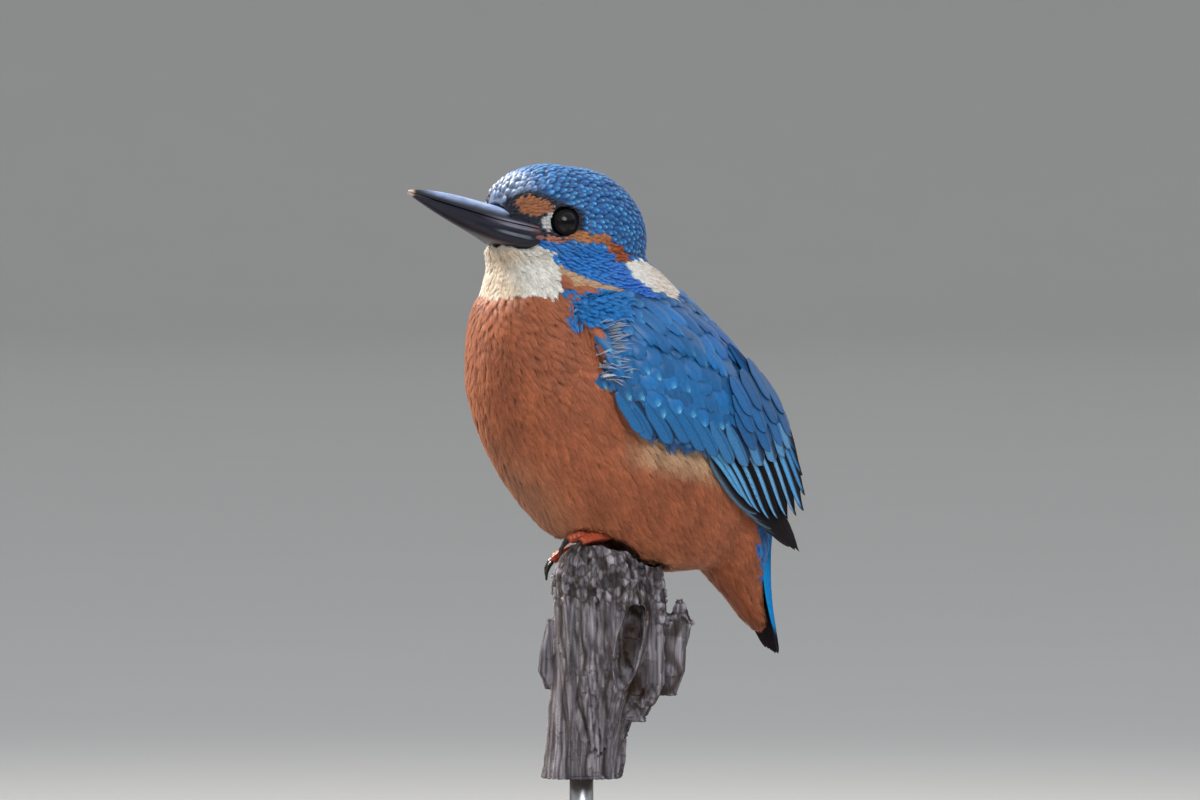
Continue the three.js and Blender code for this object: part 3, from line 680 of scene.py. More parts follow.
def paint_of(points, kinds):
    """Root, tip and spot colours, and the spot's strength, for feathers rooted at points."""
    look = bird_settings().plumage
    shade = {name: np.array(getattr(look, name)) for name in (
        "crown", "spot", "moustache", "wing", "azure", "edge", "orange", "buff", "white", "mask")}
    forward, _, up = head_read(points)
    along, across = wing_read(points)
    low, _ = wing_edges(along)
    z = points[:, 2]
    tip = np.zeros((len(points), 3))
    spot = np.zeros((len(points), 3))
    strength = np.zeros(len(points))

    def fill(kind, tone, spot_tone=None, amount=0.0):
        chosen = kinds == kind
        tip[chosen] = tone[chosen] if np.ndim(tone) > 1 else tone
        mark = shade["spot"] if spot_tone is None else spot_tone
        spot[chosen] = mark[chosen] if np.ndim(mark) > 1 else mark
        strength[chosen] = amount[chosen] if np.ndim(amount) else amount

    # Painted highlight: the forehead's feathers and their spots are painted pale grey where light catches
    # the brow.
    brow_highlight = ease(10.5, 17, forward) * ease(1.5, 6, up)
    scatter_of_light = noise_at(points[:, 0], points[:, 1], z, (1.7, 1.7, 1.7))
    crown = blend(shade["crown"] * rgb(0.7, 0.95, 1.0),
                  shade["crown"] * rgb(0.8, 1.25, 1.2), ease(-14, 4, forward))
    fill(CROWN, blend(crown, rgb(0.26, 0.30, 0.38), 0.6 * brow_highlight),
         blend(shade["spot"], rgb(0.74, 0.76, 0.84), 0.75 * brow_highlight),
         np.clip(0.72 + 0.9 * scatter_of_light, 0.15, 1.0))
    fill(MASK, shade["mask"])
    fill(LORE, rgb(0.42, 0.15, 0.06))
    fill(FLECK, rgb(0.62, 0.60, 0.58))
    fill(EAR, blend(rgb(0.52, 0.20, 0.075), rgb(0.36, 0.075, 0.02), ease(6, -5, forward)))
    fill(GAPE, rgb(0.48, 0.17, 0.10))
    fill(MALAR, blend(shade["moustache"], shade["moustache"] * rgb(0.7, 0.75, 1.1),
                      ease(2, -6, forward)), rgb(0.03, 0.26, 0.66), 0.45)
    fill(NECK_SIDE, blend(rgb(0.92, 0.865, 0.78), rgb(0.80, 0.60, 0.44),
                          ease(-7, -14, forward) * 0.5))
    fill(CREAM, rgb(0.60, 0.36, 0.20))
    # Painted shadow: a tan band down the white throat stands in for the shade of its fold.
    fold_shadow_share = 0.65 * np.exp(-(((forward - 17.6) / 1.5) ** 2)) * ease(-3, -6, up)
    fill(CHIN, blend(shade["white"], rgb(0.68, 0.47, 0.27), fold_shadow_share))
    belly = ease(100, 84, z) * ease(16, 4, np.abs(points[:, 0])) * ease(24, 8, points[:, 1])
    cream = ease(-6.5, -1.0, across - low) * ease(24, 34, along) * ease(52, 42, along)
    # Darker orange in a band on the upper breast, just under the throat.
    under_throat_band = ease(-15.4, -13.0, up) * ease(8, 12, forward)
    breast = blend(shade["orange"], shade["buff"], 0.75 * belly)
    breast = blend(breast, rgb(0.66, 0.43, 0.25), 0.8 * cream)
    breast = blend(breast, shade["orange"] * 0.85, under_throat_band)
    cloud = noise_at(points[:, 0], points[:, 1], z, (6.0, 3.2, 9.0))
    fill(BREAST, breast * (1 + 0.30 * cloud)[:, None])
    fill(SHOULDER, shade["moustache"] * rgb(1.1, 1.2, 1.0), rgb(0.03, 0.30, 0.66), 0.35)
    upper = ease(6, 20, across)
    wing_tone = blend(shade["wing"], shade["wing"] * rgb(1.4, 0.72, 0.75), upper)
    fill(WING, wing_tone, shade["edge"], 0.25)
    centre_back = ease(9.0, 6.5, np.abs(points[:, 0]))
    dark_back = shade["wing"] * rgb(1.7, 0.62, 0.72)
    fill(MANTLE, blend(dark_back, shade["azure"], centre_back * ease(130, 122, z)),
         rgb(0.06, 0.50, 0.90), 0.3)
    rump = blend(dark_back, shade["azure"], ease(11, 8, np.abs(points[:, 0])))
    fill(RUMP, blend(rump, shade["moustache"] * 0.75, ease(84, 78, z)),
         rgb(0.06, 0.50, 0.90), 0.3)
    # The root colour is the tip's at 0.72, as painted shade where each feather lies under the ones above it.
    return tip * 0.72, tip, spot, strength


# ---------------------------------------------------------------- feather roots on the skin


class Surface:
    """The skin as arrays, in millimetres, with a tree for finding the nearest place on it."""

    def __init__(self, mesh):
        self.points = points_of(mesh)
        self.normals = normals_of(mesh)
        mesh.calc_loop_triangles()
        flat = np.zeros(len(mesh.loop_triangles) * 3, np.int32)
        mesh.loop_triangles.foreach_get("vertices", flat)
        self.triangles = flat.reshape(-1, 3)
        self.tree = BVHTree.FromPolygons(self.points.tolist(), self.triangles.tolist())
        corner = self.points[self.triangles]
        self.areas = np.linalg.norm(
            np.cross(corner[:, 1] - corner[:, 0], corner[:, 2] - corner[:, 0]), axis=1) / 2
        self.kinds = tract_of(corner.mean(1))

    def normals_at(self, triangle, weights):
        return unit((self.normals[self.triangles[triangle]] * weights[..., None]).sum(1))

    def hit(self, side, y, z):
        """The place and normal straight in from one side, or nothing where the skin is missed."""
        place, normal, _, _ = self.tree.ray_cast(Vector((side * 60, y, z)), Vector((-side, 0, 0)))
        if place is None or abs(place.x) < 6:
            return None
        return np.array(place), np.array(normal)


def scatter(surface, kinds, spacing, seed, keep=None):
    """Evenly spread roots on tracts of the skin: spacing is (along the lie, across it)."""
    random = np.random.default_rng(seed)
    chosen = np.isin(surface.kinds, kinds)
    weights = surface.areas * chosen
    tries = int(8 * weights.sum() / (spacing[0] * spacing[1]))
    triangle = random.choice(len(weights), tries, p=weights / weights.sum())
    a, b = random.random((2, tries))
    flip = a + b > 1
    a, b = np.where(flip, 1 - a, a), np.where(flip, 1 - b, b)
    share = np.stack([1 - a - b, a, b], -1)
    points = (surface.points[surface.triangles[triangle]] * share[..., None]).sum(1)
    normals = surface.normals_at(triangle, share)
    if keep is not None:
        allowed = keep(points)
        points, normals = points[allowed], normals[allowed]
    ways = lie_of(points, normals)
    cell = max(spacing)
    sides = np.cross(normals, ways)
    grid = {}
    taken = []
    keys = np.floor(points / cell).astype(int).tolist()
    around = [(i, j, k) for i in (-1, 0, 1) for j in (-1, 0, 1) for k in (-1, 0, 1)]

    def crowded(index, key):
        """True where a taken root lies within an ellipse of the spacing."""
        px, py, pz = points[index].tolist()
        wx, wy, wz = ways[index].tolist()
        sx, sy, sz = sides[index].tolist()
        for i, j, k in around:
            for qx, qy, qz in grid.get((key[0] + i, key[1] + j, key[2] + k), ()):
                dx, dy, dz = qx - px, qy - py, qz - pz
                run = (dx * wx + dy * wy + dz * wz) / spacing[0]
                aside = (dx * sx + dy * sy + dz * sz) / spacing[1]
                if run * run + aside * aside < 1 and dx * dx + dy * dy + dz * dz < 4 * cell * cell:
                    return True
        return False

    for index, key in enumerate(keys):
        if not crowded(index, key):
            grid.setdefault(tuple(key), []).append(points[index].tolist())
            taken.append(index)
    return points[taken], normals[taken], ways[taken]


def unwrap(points):
    """A flat map of the body: round its curved axis, and along it from the bill to the tail."""
    axis = np.array([[3.0, -30, 141], [0, -7.6, 140], [0, -3, 124], [0, 6, 100], [0, 16, 82],
                     [0, 33, 64], [0, 41, 48]])
    best = np.full(len(points), 1e9)
    place = np.zeros(len(points))
    turn = np.zeros(len(points))
    start = 0.0
    for a, b in zip(axis, axis[1:]):
        run = b - a
        size = np.linalg.norm(run)
        t = np.clip((points - a) @ run / size**2, 0, 1)
        off = points - (a + t[:, None] * run)
        gap = np.linalg.norm(off, axis=1)
        nearer = gap < best
        ahead = run / size
        back = unit(np.array([0.0, 1.0, 1.0]) - ahead * (ahead[1] + ahead[2]))
        left = np.cross(ahead, back)
        angle = np.arctan2(off @ left, off @ back)
        best = np.where(nearer, gap, best)
        place = np.where(nearer, start + t * size, place)
        turn = np.where(nearer, angle, turn)
        start += size
    return np.stack([turn, place], -1)


def spread_map(flat):
    """Scales a flat map so that it fills its square."""
    low, high = flat.min(0), flat.max(0)
    return 0.02 + 0.96 * (flat - low) / np.maximum(high - low, 1e-6)


# ---------------------------------------------------------------- vanes, and the coat made of them


NARROWING = 0.72  # a free barb's width half-way along, beside its width at the root


def vane(name, columns, rows, split, droop=0.0, fringe=0.3, round_tip=2.4, root_width=0.35, seed=1):
    """A feather 1 long and 1 wide: joined barbs up to split, then free barbs of uneven length."""
    random = np.random.default_rng(seed)
    lines = np.linspace(-1, 1, columns + 1)
    shades = 1 + 0.16 * (random.random(columns) - 0.5)
    points, faces, along, aside, height, tone = [], [], [], [], [], []

    def half_width(v):
        rise = root_width + (1 - root_width) * math.sin(min(v / 0.45, 1) * math.pi / 2)
        fall = (1 - max(v - 0.5, 0) ** round_tip / 0.5**round_tip * (1 - fringe)) ** 0.5
        return 0.5 * rise * fall

    def add(v, u, shade):
        points.append((half_width(v) * u, v, 0))
        along.append(v)
        aside.append(u)
        height.append(-0.25 + 1.25 * math.sin(min(v / 0.8, 1) * math.pi / 2)
                      - 0.28 * u * u - droop * max(v - 0.7, 0))
        tone.append(shade)
        return len(points) - 1

    for c in range(columns):
        left, right = lines[c], lines[c + 1]
        reach = 1 - fringe * 0.55 * abs((left + right) / 2) ** 2 - fringe * 0.45 * random.random()
        levels = [split * r / rows for r in range(rows + 1)]
        pairs = [(add(v, left, shades[c]), add(v, right, shades[c])) for v in levels]
        if reach > split + 0.02:
            middle = split + (reach - split) * 0.55
            centre, half = (left + right) / 2, (right - left) / 2 * NARROWING
            pairs.append((add(middle, centre - half, shades[c]), add(middle, centre + half, shades[c])))
            end = add(reach, centre + 0.1 * (random.random() - 0.5), shades[c] * 1.05)
            faces.append((pairs[-1][0], pairs[-1][1], end))
        for (a, b), (d, e) in zip(pairs, pairs[1:]):
            faces.append((a, b, e, d))
    mesh = bpy.data.meshes.new(name)
    mesh.from_pydata(points, [], faces)
    for key, values in (("along", along), ("aside", aside), ("height", height), ("tone", tone)):
        write_attribute(mesh, key, values)
    return bpy.data.objects.new(name, mesh)


VANE_KINDS = {
    "scale": dict(columns=5, rows=3, split=0.66, fringe=0.30, round_tip=2.4, droop=0.5),
    "tuft": dict(columns=5, rows=2, split=0.35, fringe=0.5, round_tip=1.8, droop=0.6),
    "plume": dict(columns=8, rows=2, split=0.32, fringe=0.6, round_tip=1.6, droop=1.3),
    "covert": dict(columns=7, rows=5, split=0.80, fringe=0.2, round_tip=2.4, root_width=0.55, droop=0.9),
}
VARIANTS = 4


def vane_collection(kind):
    """The shapes of one kind of feather, as a collection that a coat picks from."""
    name = "vanes_" + kind
    if name not in bpy.data.collections:
        made = bpy.data.collections.new(name)
        for i in range(VARIANTS):
            made.objects.link(vane(f"vane_{kind}_{i}", seed=11 + i, **VANE_KINDS[kind]))
    return bpy.data.collections[name]


def clear_vanes():
    for kind in VANE_KINDS:
        found = bpy.data.collections["vanes_" + kind]
        for item in list(found.objects):
            bpy.data.meshes.remove(item.data)
        bpy.data.collections.remove(found)


def coat_tree():
    """Geometry Nodes: a vane on each root, laid on the skin, with its patch of the bake map."""
    tree = bpy.data.node_groups.get("feather_coat")
    if tree:
        return tree
    tree = bpy.data.node_groups.new("feather_coat", "GeometryNodeTree")
    tree.is_modifier = True
    for name, kind in (("Roots", "Geometry"), ("Vanes", "Collection"), ("Skin", "Object"),
                       ("Patch width", "Float"), ("Smallest", "Float"), ("Largest", "Float"),
                       ("Seed", "Int"), ("Finish", "Material")):
        tree.interface.new_socket(name, in_out="INPUT", socket_type="NodeSocket" + kind)
    tree.interface.new_socket("Coat", in_out="OUTPUT", socket_type="NodeSocketGeometry")

    node = partial(add_node, tree)

    def named(name, kind="FLOAT"):
        return node("GeometryNodeInputNamedAttribute", {"Name": name}, data_type=kind).outputs[0]

    def vector(operation, *parts):
        return node("ShaderNodeVectorMath", dict(enumerate(parts)), operation=operation).outputs[0]

    def scaled(a, factor):
        return node("ShaderNodeVectorMath", {0: a, "Scale": factor}, operation="SCALE").outputs[0]

    given = tree.nodes.new("NodeGroupInput").outputs
    turn = node("FunctionNodeAxesToRotation", {
        "Primary Axis": named("up", "FLOAT_VECTOR"), "Secondary Axis": named("way", "FLOAT_VECTOR")},
        primary_axis="Z", secondary_axis="Y")
    chance = node("FunctionNodeRandomValue", {2: given["Smallest"], 3: given["Largest"],
                                              "Seed": given["Seed"]}, data_type="FLOAT")
    vanes = node("GeometryNodeCollectionInfo", {
        "Collection": given["Vanes"], "Separate Children": True, "Reset Children": True})
    placed = node("GeometryNodeInstanceOnPoints", {
        "Points": given["Roots"], "Instance": vanes.outputs[0], "Pick Instance": True,
        "Instance Index": named("variant", "INT"), "Rotation": turn.outputs[0],
        "Scale": scaled(named("size", "FLOAT_VECTOR"), chance.outputs[1])})
    real = node("GeometryNodeRealizeInstances", {"Geometry": placed.outputs[0]}).outputs[0]
    skin = node("GeometryNodeObjectInfo", {"Object": given["Skin"]}).outputs["Geometry"]
    here = node("GeometryNodeInputPosition").outputs[0]
    nearest = node("GeometryNodeProximity", {0: skin, 2: here}, target_element="FACES")
    rise = node("GeometryNodeSampleNearestSurface", {"Mesh": skin, "Value": named("rise", "FLOAT_VECTOR")},
                data_type="FLOAT_VECTOR")
    lift = node("ShaderNodeMath", {0: named("height"), 1: named("loft")}, operation="MULTIPLY")
    laid = vector("ADD", nearest.outputs["Position"], scaled(rise.outputs[0], lift.outputs[0]))
    settled = node("GeometryNodeSetPosition", {"Geometry": real, "Position": laid})
    local = node("ShaderNodeCombineXYZ", {0: named("aside"), 1: named("along")}).outputs[0]
    shift = vector("MULTIPLY_ADD", local, (0.5, 1.0, 0.0), (0.0, -0.5, 0.0))
    patch = vector("ADD", named("root_map", "FLOAT_VECTOR"), scaled(shift, given["Patch width"]))
    mapped = node("GeometryNodeStoreNamedAttribute",
                  {"Geometry": settled.outputs[0], "Name": "OFBake", "Value": patch},
                  data_type="FLOAT2", domain="CORNER")
    smooth = node("GeometryNodeSetShadeSmooth", {"Geometry": mapped.outputs[0]})
    last = node("GeometryNodeSetMaterial", {"Geometry": smooth.outputs[0], "Material": given["Finish"]})
    tree.links.new(last.outputs[0], tree.nodes.new("NodeGroupOutput").inputs[0])
    return tree


def set_input(modifier, name, value):
    """Sets a Geometry Nodes modifier's input by its socket's identifier."""
    for item in modifier.node_group.interface.items_tree:
        if item.item_type == "SOCKET" and item.in_out == "INPUT" and item.name == name:
            modifier[item.identifier] = value
            return
    raise ValueError("the feather coat has no input named " + name)


def grow_coat(name, shape, material, roots, paint, sizes, loft, flat_map=None, seed=1,
              spot_form=(0.80, 0.16, 0.55)):
    """Feathers of one shape on given roots. sizes is (width, length) for each, and loft its rise."""
    points, normals, ways = roots
    count = len(points)
    random = np.random.default_rng(seed)
    mesh = bpy.data.meshes.new(name + "_roots")
    mesh.vertices.add(count)
    set_points(mesh, points)
    sway = np.radians(random.normal(0, 5, count))[:, None]
    ways = unit(ways * np.cos(sway) + np.cross(normals, ways) * np.sin(sway))
    flat = spread_map(unwrap(points) if flat_map is None else flat_map)
    scales = np.stack([sizes[:, 0], sizes[:, 1], sizes[:, 1]], -1) * MM
    given = {"up": normals, "way": ways, "size": scales,
             "root_map": np.column_stack([flat, np.zeros(count)]),
             "loft": np.full(count, loft * MM),
             "variant": random.integers(0, VARIANTS, count), "root_id": np.arange(count)}
    for key, values in given.items():
        write_attribute(mesh, key, values)
    piece = add_object(name, mesh)
    modifier = piece.modifiers.new("feather_coat", "NODES")
    modifier.node_group = coat_tree()
    look = bird_settings().plumage
    for key, value in (("Vanes", vane_collection(shape)), ("Skin", bpy.data.objects["body_skin"]),
                       ("Patch width", look.patch), ("Smallest", 0.90), ("Largest", 1.12),
                       ("Seed", seed), ("Finish", material)):
        set_input(modifier, key, value)
    coat = apply_modifiers(piece)
    which = read_attribute(coat, "root_id", np.int32)
    v, u, tone = (read_attribute(coat, key) for key in ("along", "aside", "tone"))
    root_tone, tip_tone, spot_tone, strength = paint
    each = 1 + 0.10 * random.standard_normal(count)
    # Each feather runs from its root colour to its tip colour; the darker root is painted shade under the
    # feathers above.
    colours = blend(root_tone[which], tip_tone[which], ease(0.15, 0.75, v))
    centre, half_length, half_width = spot_form
    in_spot = np.exp(-(((v - centre) / half_length) ** 2) - (u / half_width) ** 2) * strength[which]
    colours = blend(colours, spot_tone[which], np.clip(in_spot * 1.3, 0, 1))
    write_colours(coat, colours * (tone * each[which])[:, None])
    for key in (*given, "along", "aside", "height", "tone"):
        if key in coat.attributes:
            coat.attributes.remove(coat.attributes[key])
    return piece


def clear_of_eyes(points, ways, lengths):
    """Shortens feathers that would lie over an eye. Returns their lengths, 0 where none fits."""
    lengths = lengths.copy()
    for side in (1, -1):
        centre, out, _, _ = eye_axes(side)

        def gap(places):
            offset = places - centre
            height = offset @ out
            return np.where(height > 0, np.linalg.norm(offset - height[:, None] * out, axis=1), 99)

        for _ in range(6):
            lengths = np.where(gap(points + ways * lengths[:, None]) < 2.55, lengths * 0.78, lengths)
        lengths = np.where(gap(points) < 2.65, 0, lengths)
    lengths = np.where(bare_share(points) > 0.6, 0, lengths)
    return np.where(lengths < 0.5, 0, lengths)


def skin_surface():
    return Surface(bpy.data.objects["body_skin"].data)


def tract_coat(surface, name, shape, finish, kinds, spacing, size, loft, seed, keep=None,
               spot_form=(0.80, 0.16, 0.5), near_face=False):
    """A coat over whole tracts of the skin. size is (width, length)."""
    points, normals, ways = scatter(surface, kinds, spacing, seed, keep)
    random = np.random.default_rng(seed + 500)
    lengths = size[1] * (0.88 + 0.24 * random.random(len(points)))
    if near_face:
        lengths = clear_of_eyes(points, ways, lengths)
        kept = lengths > 0
        points, normals, ways, lengths = points[kept], normals[kept], ways[kept], lengths[kept]
    kinds_at = tract_of(points)
    if BREAST in kinds:
        along, across = wing_read(points)
        reach = (0.75 - 0.35 * (along < 12)) * lengths
        over = (tract_of(points + ways * reach[:, None]) == WING) & (np.abs(points[:, 0]) > 9)
        low, _ = wing_edges(along)
        beneath = (across > low + 0.4) & (along > 9) & (along < 60) & (np.abs(points[:, 0]) > 9)
        kept = ~(over | beneath)
        points, normals, ways, lengths = points[kept], normals[kept], ways[kept], lengths[kept]
        kinds_at = kinds_at[kept]
    paint = paint_of(points + ways * 0.3 * lengths[:, None], kinds_at)
    widths = size[0] * np.clip(lengths / size[1], 0.75, 1.2)
    piece = grow_coat(name, shape, finish, (points, normals, ways), paint,
                      np.stack([widths, lengths], -1), loft, seed=seed, spot_form=spot_form)
    return hand_over(piece)


# ---------------------------------------------------------------- skin and lids

FLESH = ("head", "neck", "trunk", "tail_coverts", "wing_left", "wing_right")
FACE_DEPTH = 0.45  # the coat is thin round the eyes and bill


def build_skin():
    look = bird_settings().plumage
    spare = 0.2  # grown by this much first, so that the parted solids join
    piece = solid_skin("body_skin", FLESH, look.skin_voxel / MM, grow=spare)
    mesh = piece.data
    points = points_of(mesh)
    normals = normals_of(mesh)
    forward, _, up = head_read(points)
    face = ease(-2, 8, forward) * ease(-9, -4, up)
    depth = spare + look.coat_depth / MM * (1 - face) + FACE_DEPTH * face
    points = points - normals * depth[:, None]
    behind, across, lift = bill_read(points)
    sunk = np.maximum(np.abs(across) - np.maximum(bill_reach(behind, lift) - 0.45, 0.2), 0)
    points = points - HEAD_LEFT * (np.sign(across) * sunk * bare_share(points))[:, None]
    for side in (1, -1):
        centre, out, _, _ = eye_axes(side)
        height = (points - centre) @ out
        radius = np.linalg.norm(points - centre - height[:, None] * out, axis=1)
        share = ease(5.2, 2.8, radius) * (height > -2)
        points = points + out * ((SOCKET_LEVEL - height) * share)[:, None]
    set_points(mesh, points)
    add_smoothing(piece, 3)
    settled = apply_modifiers(piece)
    write_attribute(settled, "rise", normals_of(settled))
    points = points_of(settled)
    # The skin is painted with the plumage's colours at 0.55, as painted shade where it shows between the
    # feathers.
    write_colours(settled, paint_of(points, tract_of(points))[1] * 0.55)
    hand_over(piece, plumage_finish("skin_down", 0.7, 0.2, 0.0), FLESH)


SOCKET_LEVEL = 1.85  # the skin's height round an eye, out from the eye's centre
LID_TURN = math.radians(47)  # from the eye's own axis to the edge of its lids
LID_THICKNESS = 0.18


def eye_axes(side):
    """The eye's centre, and its directions: out of the head, forward, and up."""
    centre = head_place(EYE_FORWARD, side * EYE_ASIDE, EYE_UP)
    out = unit(HEAD_LEFT * side + HEAD_FORWARD * 0.16 + np.array([0, 0, 0.04]))
    ahead = unit(HEAD_FORWARD - out * (HEAD_FORWARD @ out))
    above = np.cross(out, ahead) * side
    return centre, out, ahead, above


def build_lids():
    """Bare rims of skin round each eye, with a corner at the front and the back."""
    finish = Finish("lid_skin", 0.6, 0.08)
    wrinkles = finish.grain(5200, detail=3.0)
    finish.colour(finish.ramp(wrinkles, (0.3, (0.003, 0.003, 0.005)), (0.8, (0.008, 0.008, 0.012))))
    finish.bump(wrinkles, 0.5, 0.0001)
    points, faces = [], []
    steps, ring_sides = 72, 12
    spin = 2 * math.pi * np.arange(ring_sides) / ring_sides
    for side, _ in SIDES:
        centre, out, ahead, above = eye_axes(side)
        grid = len(points) * ring_sides + np.arange(steps * ring_sides).reshape(steps, ring_sides)
        faces += quads(np.pad(grid, ((0, 1), (0, 1)), mode="wrap"))
        for angle in 2 * math.pi * np.arange(steps) / steps:
            corner = abs(math.cos(angle)) ** 5
            turn = LID_TURN + 0.085 * corner
            radial = ahead * math.cos(angle) + above * math.sin(angle)
            thick = LID_THICKNESS * (1 + 0.12 * math.sin(angle * 19) * (1 - corner))
            on_ball = out * math.cos(turn) + radial * math.sin(turn)
            along_ball = -out * math.sin(turn) + radial * math.cos(turn)
            points.append(centre + on_ball * (EYE_RADIUS + 0.06)
                          + np.outer(np.cos(spin) * thick * 0.75, on_ball)
                          + np.outer(np.sin(spin) * thick * 1.7, along_ball))
    mesh = write_mesh("eyelids", np.concatenate(points), faces)
    outward(mesh)
    hand_over(add_object("eyelids", mesh), finish.material)


def build_eyes():
    hard = bird_settings().hard
    finish = Finish("eye_glass", 0.12, 0.22)
    finish.paint("eye_tone", finish.ramp(finish.grain(3000, detail=5.0), (0.3, 0.75), (0.75, 1.3)))
    rings, sides = 40, 56
    angles = 2 * math.pi * np.arange(sides) / sides
    pupil, iris_edge = 0.50, 0.92  # turns from the eye's axis, in radians
    cornea = 0.14  # how far the eye's clear front stands out
    for side, label in SIDES:
        centre, out, ahead, above = eye_axes(side)
        rows = []
        for r in range(1, rings):
            turn = math.pi * r / rings
            radius = EYE_RADIUS + cornea * math.exp(-((turn / 0.5) ** 2))
            rows.append(centre + out * math.cos(turn) * radius + math.sin(turn) * radius * (
                np.outer(np.cos(angles), ahead) + np.outer(np.sin(angles), above)))
        poles = centre + out * (EYE_RADIUS + cornea), centre - out * EYE_RADIUS
        mesh = write_mesh("eyeball_" + label, *closed_loft(rows, *poles))
        outward(mesh)
        turns = np.arccos(np.clip(unit(points_of(mesh) - centre) @ out, -1, 1))
        iris = rgb(*hard.iris)
        tone = blend(rgb(0.002, 0.002, 0.003), iris, ease(pupil - 0.03, pupil + 0.05, turns))
        tone = blend(tone, iris * 0.25, ease(iris_edge - 0.1, iris_edge + 0.05, turns))
        write_colours(mesh, tone, "eye_tone")
        hand_over(add_object("eyeball_" + label, mesh), finish.material, ["eye_" + label])


# ---------------------------------------------------------------- bill


def bill_place(behind, across, up):
    """Points of the bill's own directions (behind its tip, across, above the mouth's line)."""
    forward = BILL_TIP[0] - (behind * math.cos(BILL_PITCH) + up * math.sin(BILL_PITCH))
    height = BILL_TIP[1] - behind * math.sin(BILL_PITCH) + up * math.cos(BILL_PITCH)
    return head_place(forward, across, height)


def horn_finish(name, roughness):
    finish = Finish(name, roughness, 0.30, Coat_Weight=0.10, Coat_Roughness=0.25)
    streaks = finish.grain(900, (1, 0.25, 1), detail=6.0)
    finish.paint("horn_tone", finish.ramp(streaks, (0.3, 0.7), (0.7, 1.35)))
    finish.bump(streaks, 0.18, 0.0002)
    finish.roughness(finish.grain(500), roughness - 0.08, roughness + 0.12)
    return finish.material


def build_bill():
    hard = bird_settings().hard
    material = horn_finish("bill_horn", 0.34)
    horn, tip_tone = rgb(*hard.bill), rgb(*hard.bill_tip)
    rings, around = 120, 40
    for side, node in ((1, "bill_upper"), (-1, "bill_lower")):
        shares = (1 - np.cos(np.pi * (np.arange(rings) + 1) / (rings + 1))) / 2
        rows, tones = [], []
        for behind in BILL_START + (BILL_LENGTH - BILL_START) * shares:
            half_width, above, below = read_rows(BILL_ROWS, behind)
            power = float(bill_power(behind, side))
            turn = np.pi * np.arange(around) / (around - 1) - np.pi / 2
            across = half_width * np.sign(np.sin(turn)) * np.abs(np.sin(turn)) ** (2 / power)
            share = np.abs(np.cos(turn)) ** (2 / power)
            lift = share * (above if side > 0 else below)
            hole = np.exp(-(((behind - 24.2) / 1.1) ** 2) - ((share - 0.42) / 0.09) ** 2) * (side > 0)
            level = 0.30 if side > 0 else 0.38
            groove = np.exp(-(((share - level) / 0.13) ** 2)) * ease(4, 16, behind)
            across = across * (1 - 0.08 * groove - 0.16 * hole)
            rows.append(bill_place(behind, across, side * (lift + BILL_PARTING / 2)))
            if side > 0:
                # Painted reflection: the upper mandible's top is painted blue-grey, for the sky's sheen on
                # the black horn.
                base = blend(horn, rgb(0.30, 0.38, 0.58), ease(0.18, 0.85, share) * ease(2, 8, behind))
            else:
                base = np.tile(horn * rgb(0.42, 0.5, 0.95), (around, 1))
            base = blend(base, tip_tone, ease(1.8, 0.8, behind))
            # Along the mouth's edge towards the gape, a pale grey line is a painted highlight; the reddish
            # gape behind it is the skin's own colour.
            rim = ease(0.26, 0.02, share) * ease(17, 24, behind)
            base = blend(base, rgb(0.17, 0.15, 0.19), 0.8 * rim)
            base = blend(base, rgb(0.20, 0.06, 0.05), 0.7 * rim * ease(26, 29, behind))
            # The nostril is painted near-black, as painted shade in its opening over a shallow dent.
            tones.append(blend(base, rgb(0.002, 0.002, 0.003), np.clip(hole, 0, 1)))
        middle = side * (BILL_PARTING / 2 + 0.1)
        poles = bill_place(0.05, 0.0, middle), bill_place(BILL_LENGTH, 0.0, middle)
        mesh = write_mesh(node + "_horn", *closed_loft(rows, *poles))
        write_colours(mesh, np.concatenate([[tip_tone], *tones, [horn]]), "horn_tone")
        outward(mesh)
        hand_over(add_object(node + "_horn", mesh), material, [node])


# ---------------------------------------------------------------- coats of small feathers


def build_head_coat():
    surface = skin_surface()
    blue = plumage_finish("blue_feathers", 0.42, 0.10, 0.12)
    orange = plumage_finish("orange_feathers", 0.62, 0.25, 0.0, (1.0, 0.62, 0.40))
    white = plumage_finish("white_feathers", 0.66, 0.25, 0.0)
    tract_coat(surface, "crown_feathers", "scale", blue, (CROWN,),
               (1.25, 0.86), (1.22, 2.3), 0.55, 21, near_face=True, spot_form=(0.80, 0.14, 0.36))
    tract_coat(surface, "mask_feathers", "tuft", blue, (MASK, FLECK),
               (0.70, 0.45), (0.62, 1.35), 0.36, 22, near_face=True)
    tract_coat(surface, "cheek_feathers", "tuft", orange, (LORE, EAR, GAPE),
               (0.75, 0.45), (0.66, 1.6), 0.45, 23, near_face=True)
    tract_coat(surface, "moustache_feathers", "tuft", blue, (MALAR,),
               (0.85, 0.52), (0.75, 2.2), 0.6, 24, near_face=True, spot_form=(0.75, 0.3, 0.8))
    tract_coat(surface, "throat_feathers", "plume", white, (CHIN, NECK_SIDE, CREAM),
               (0.80, 0.46), (1.15, 3.0), 0.42, 25, near_face=True)


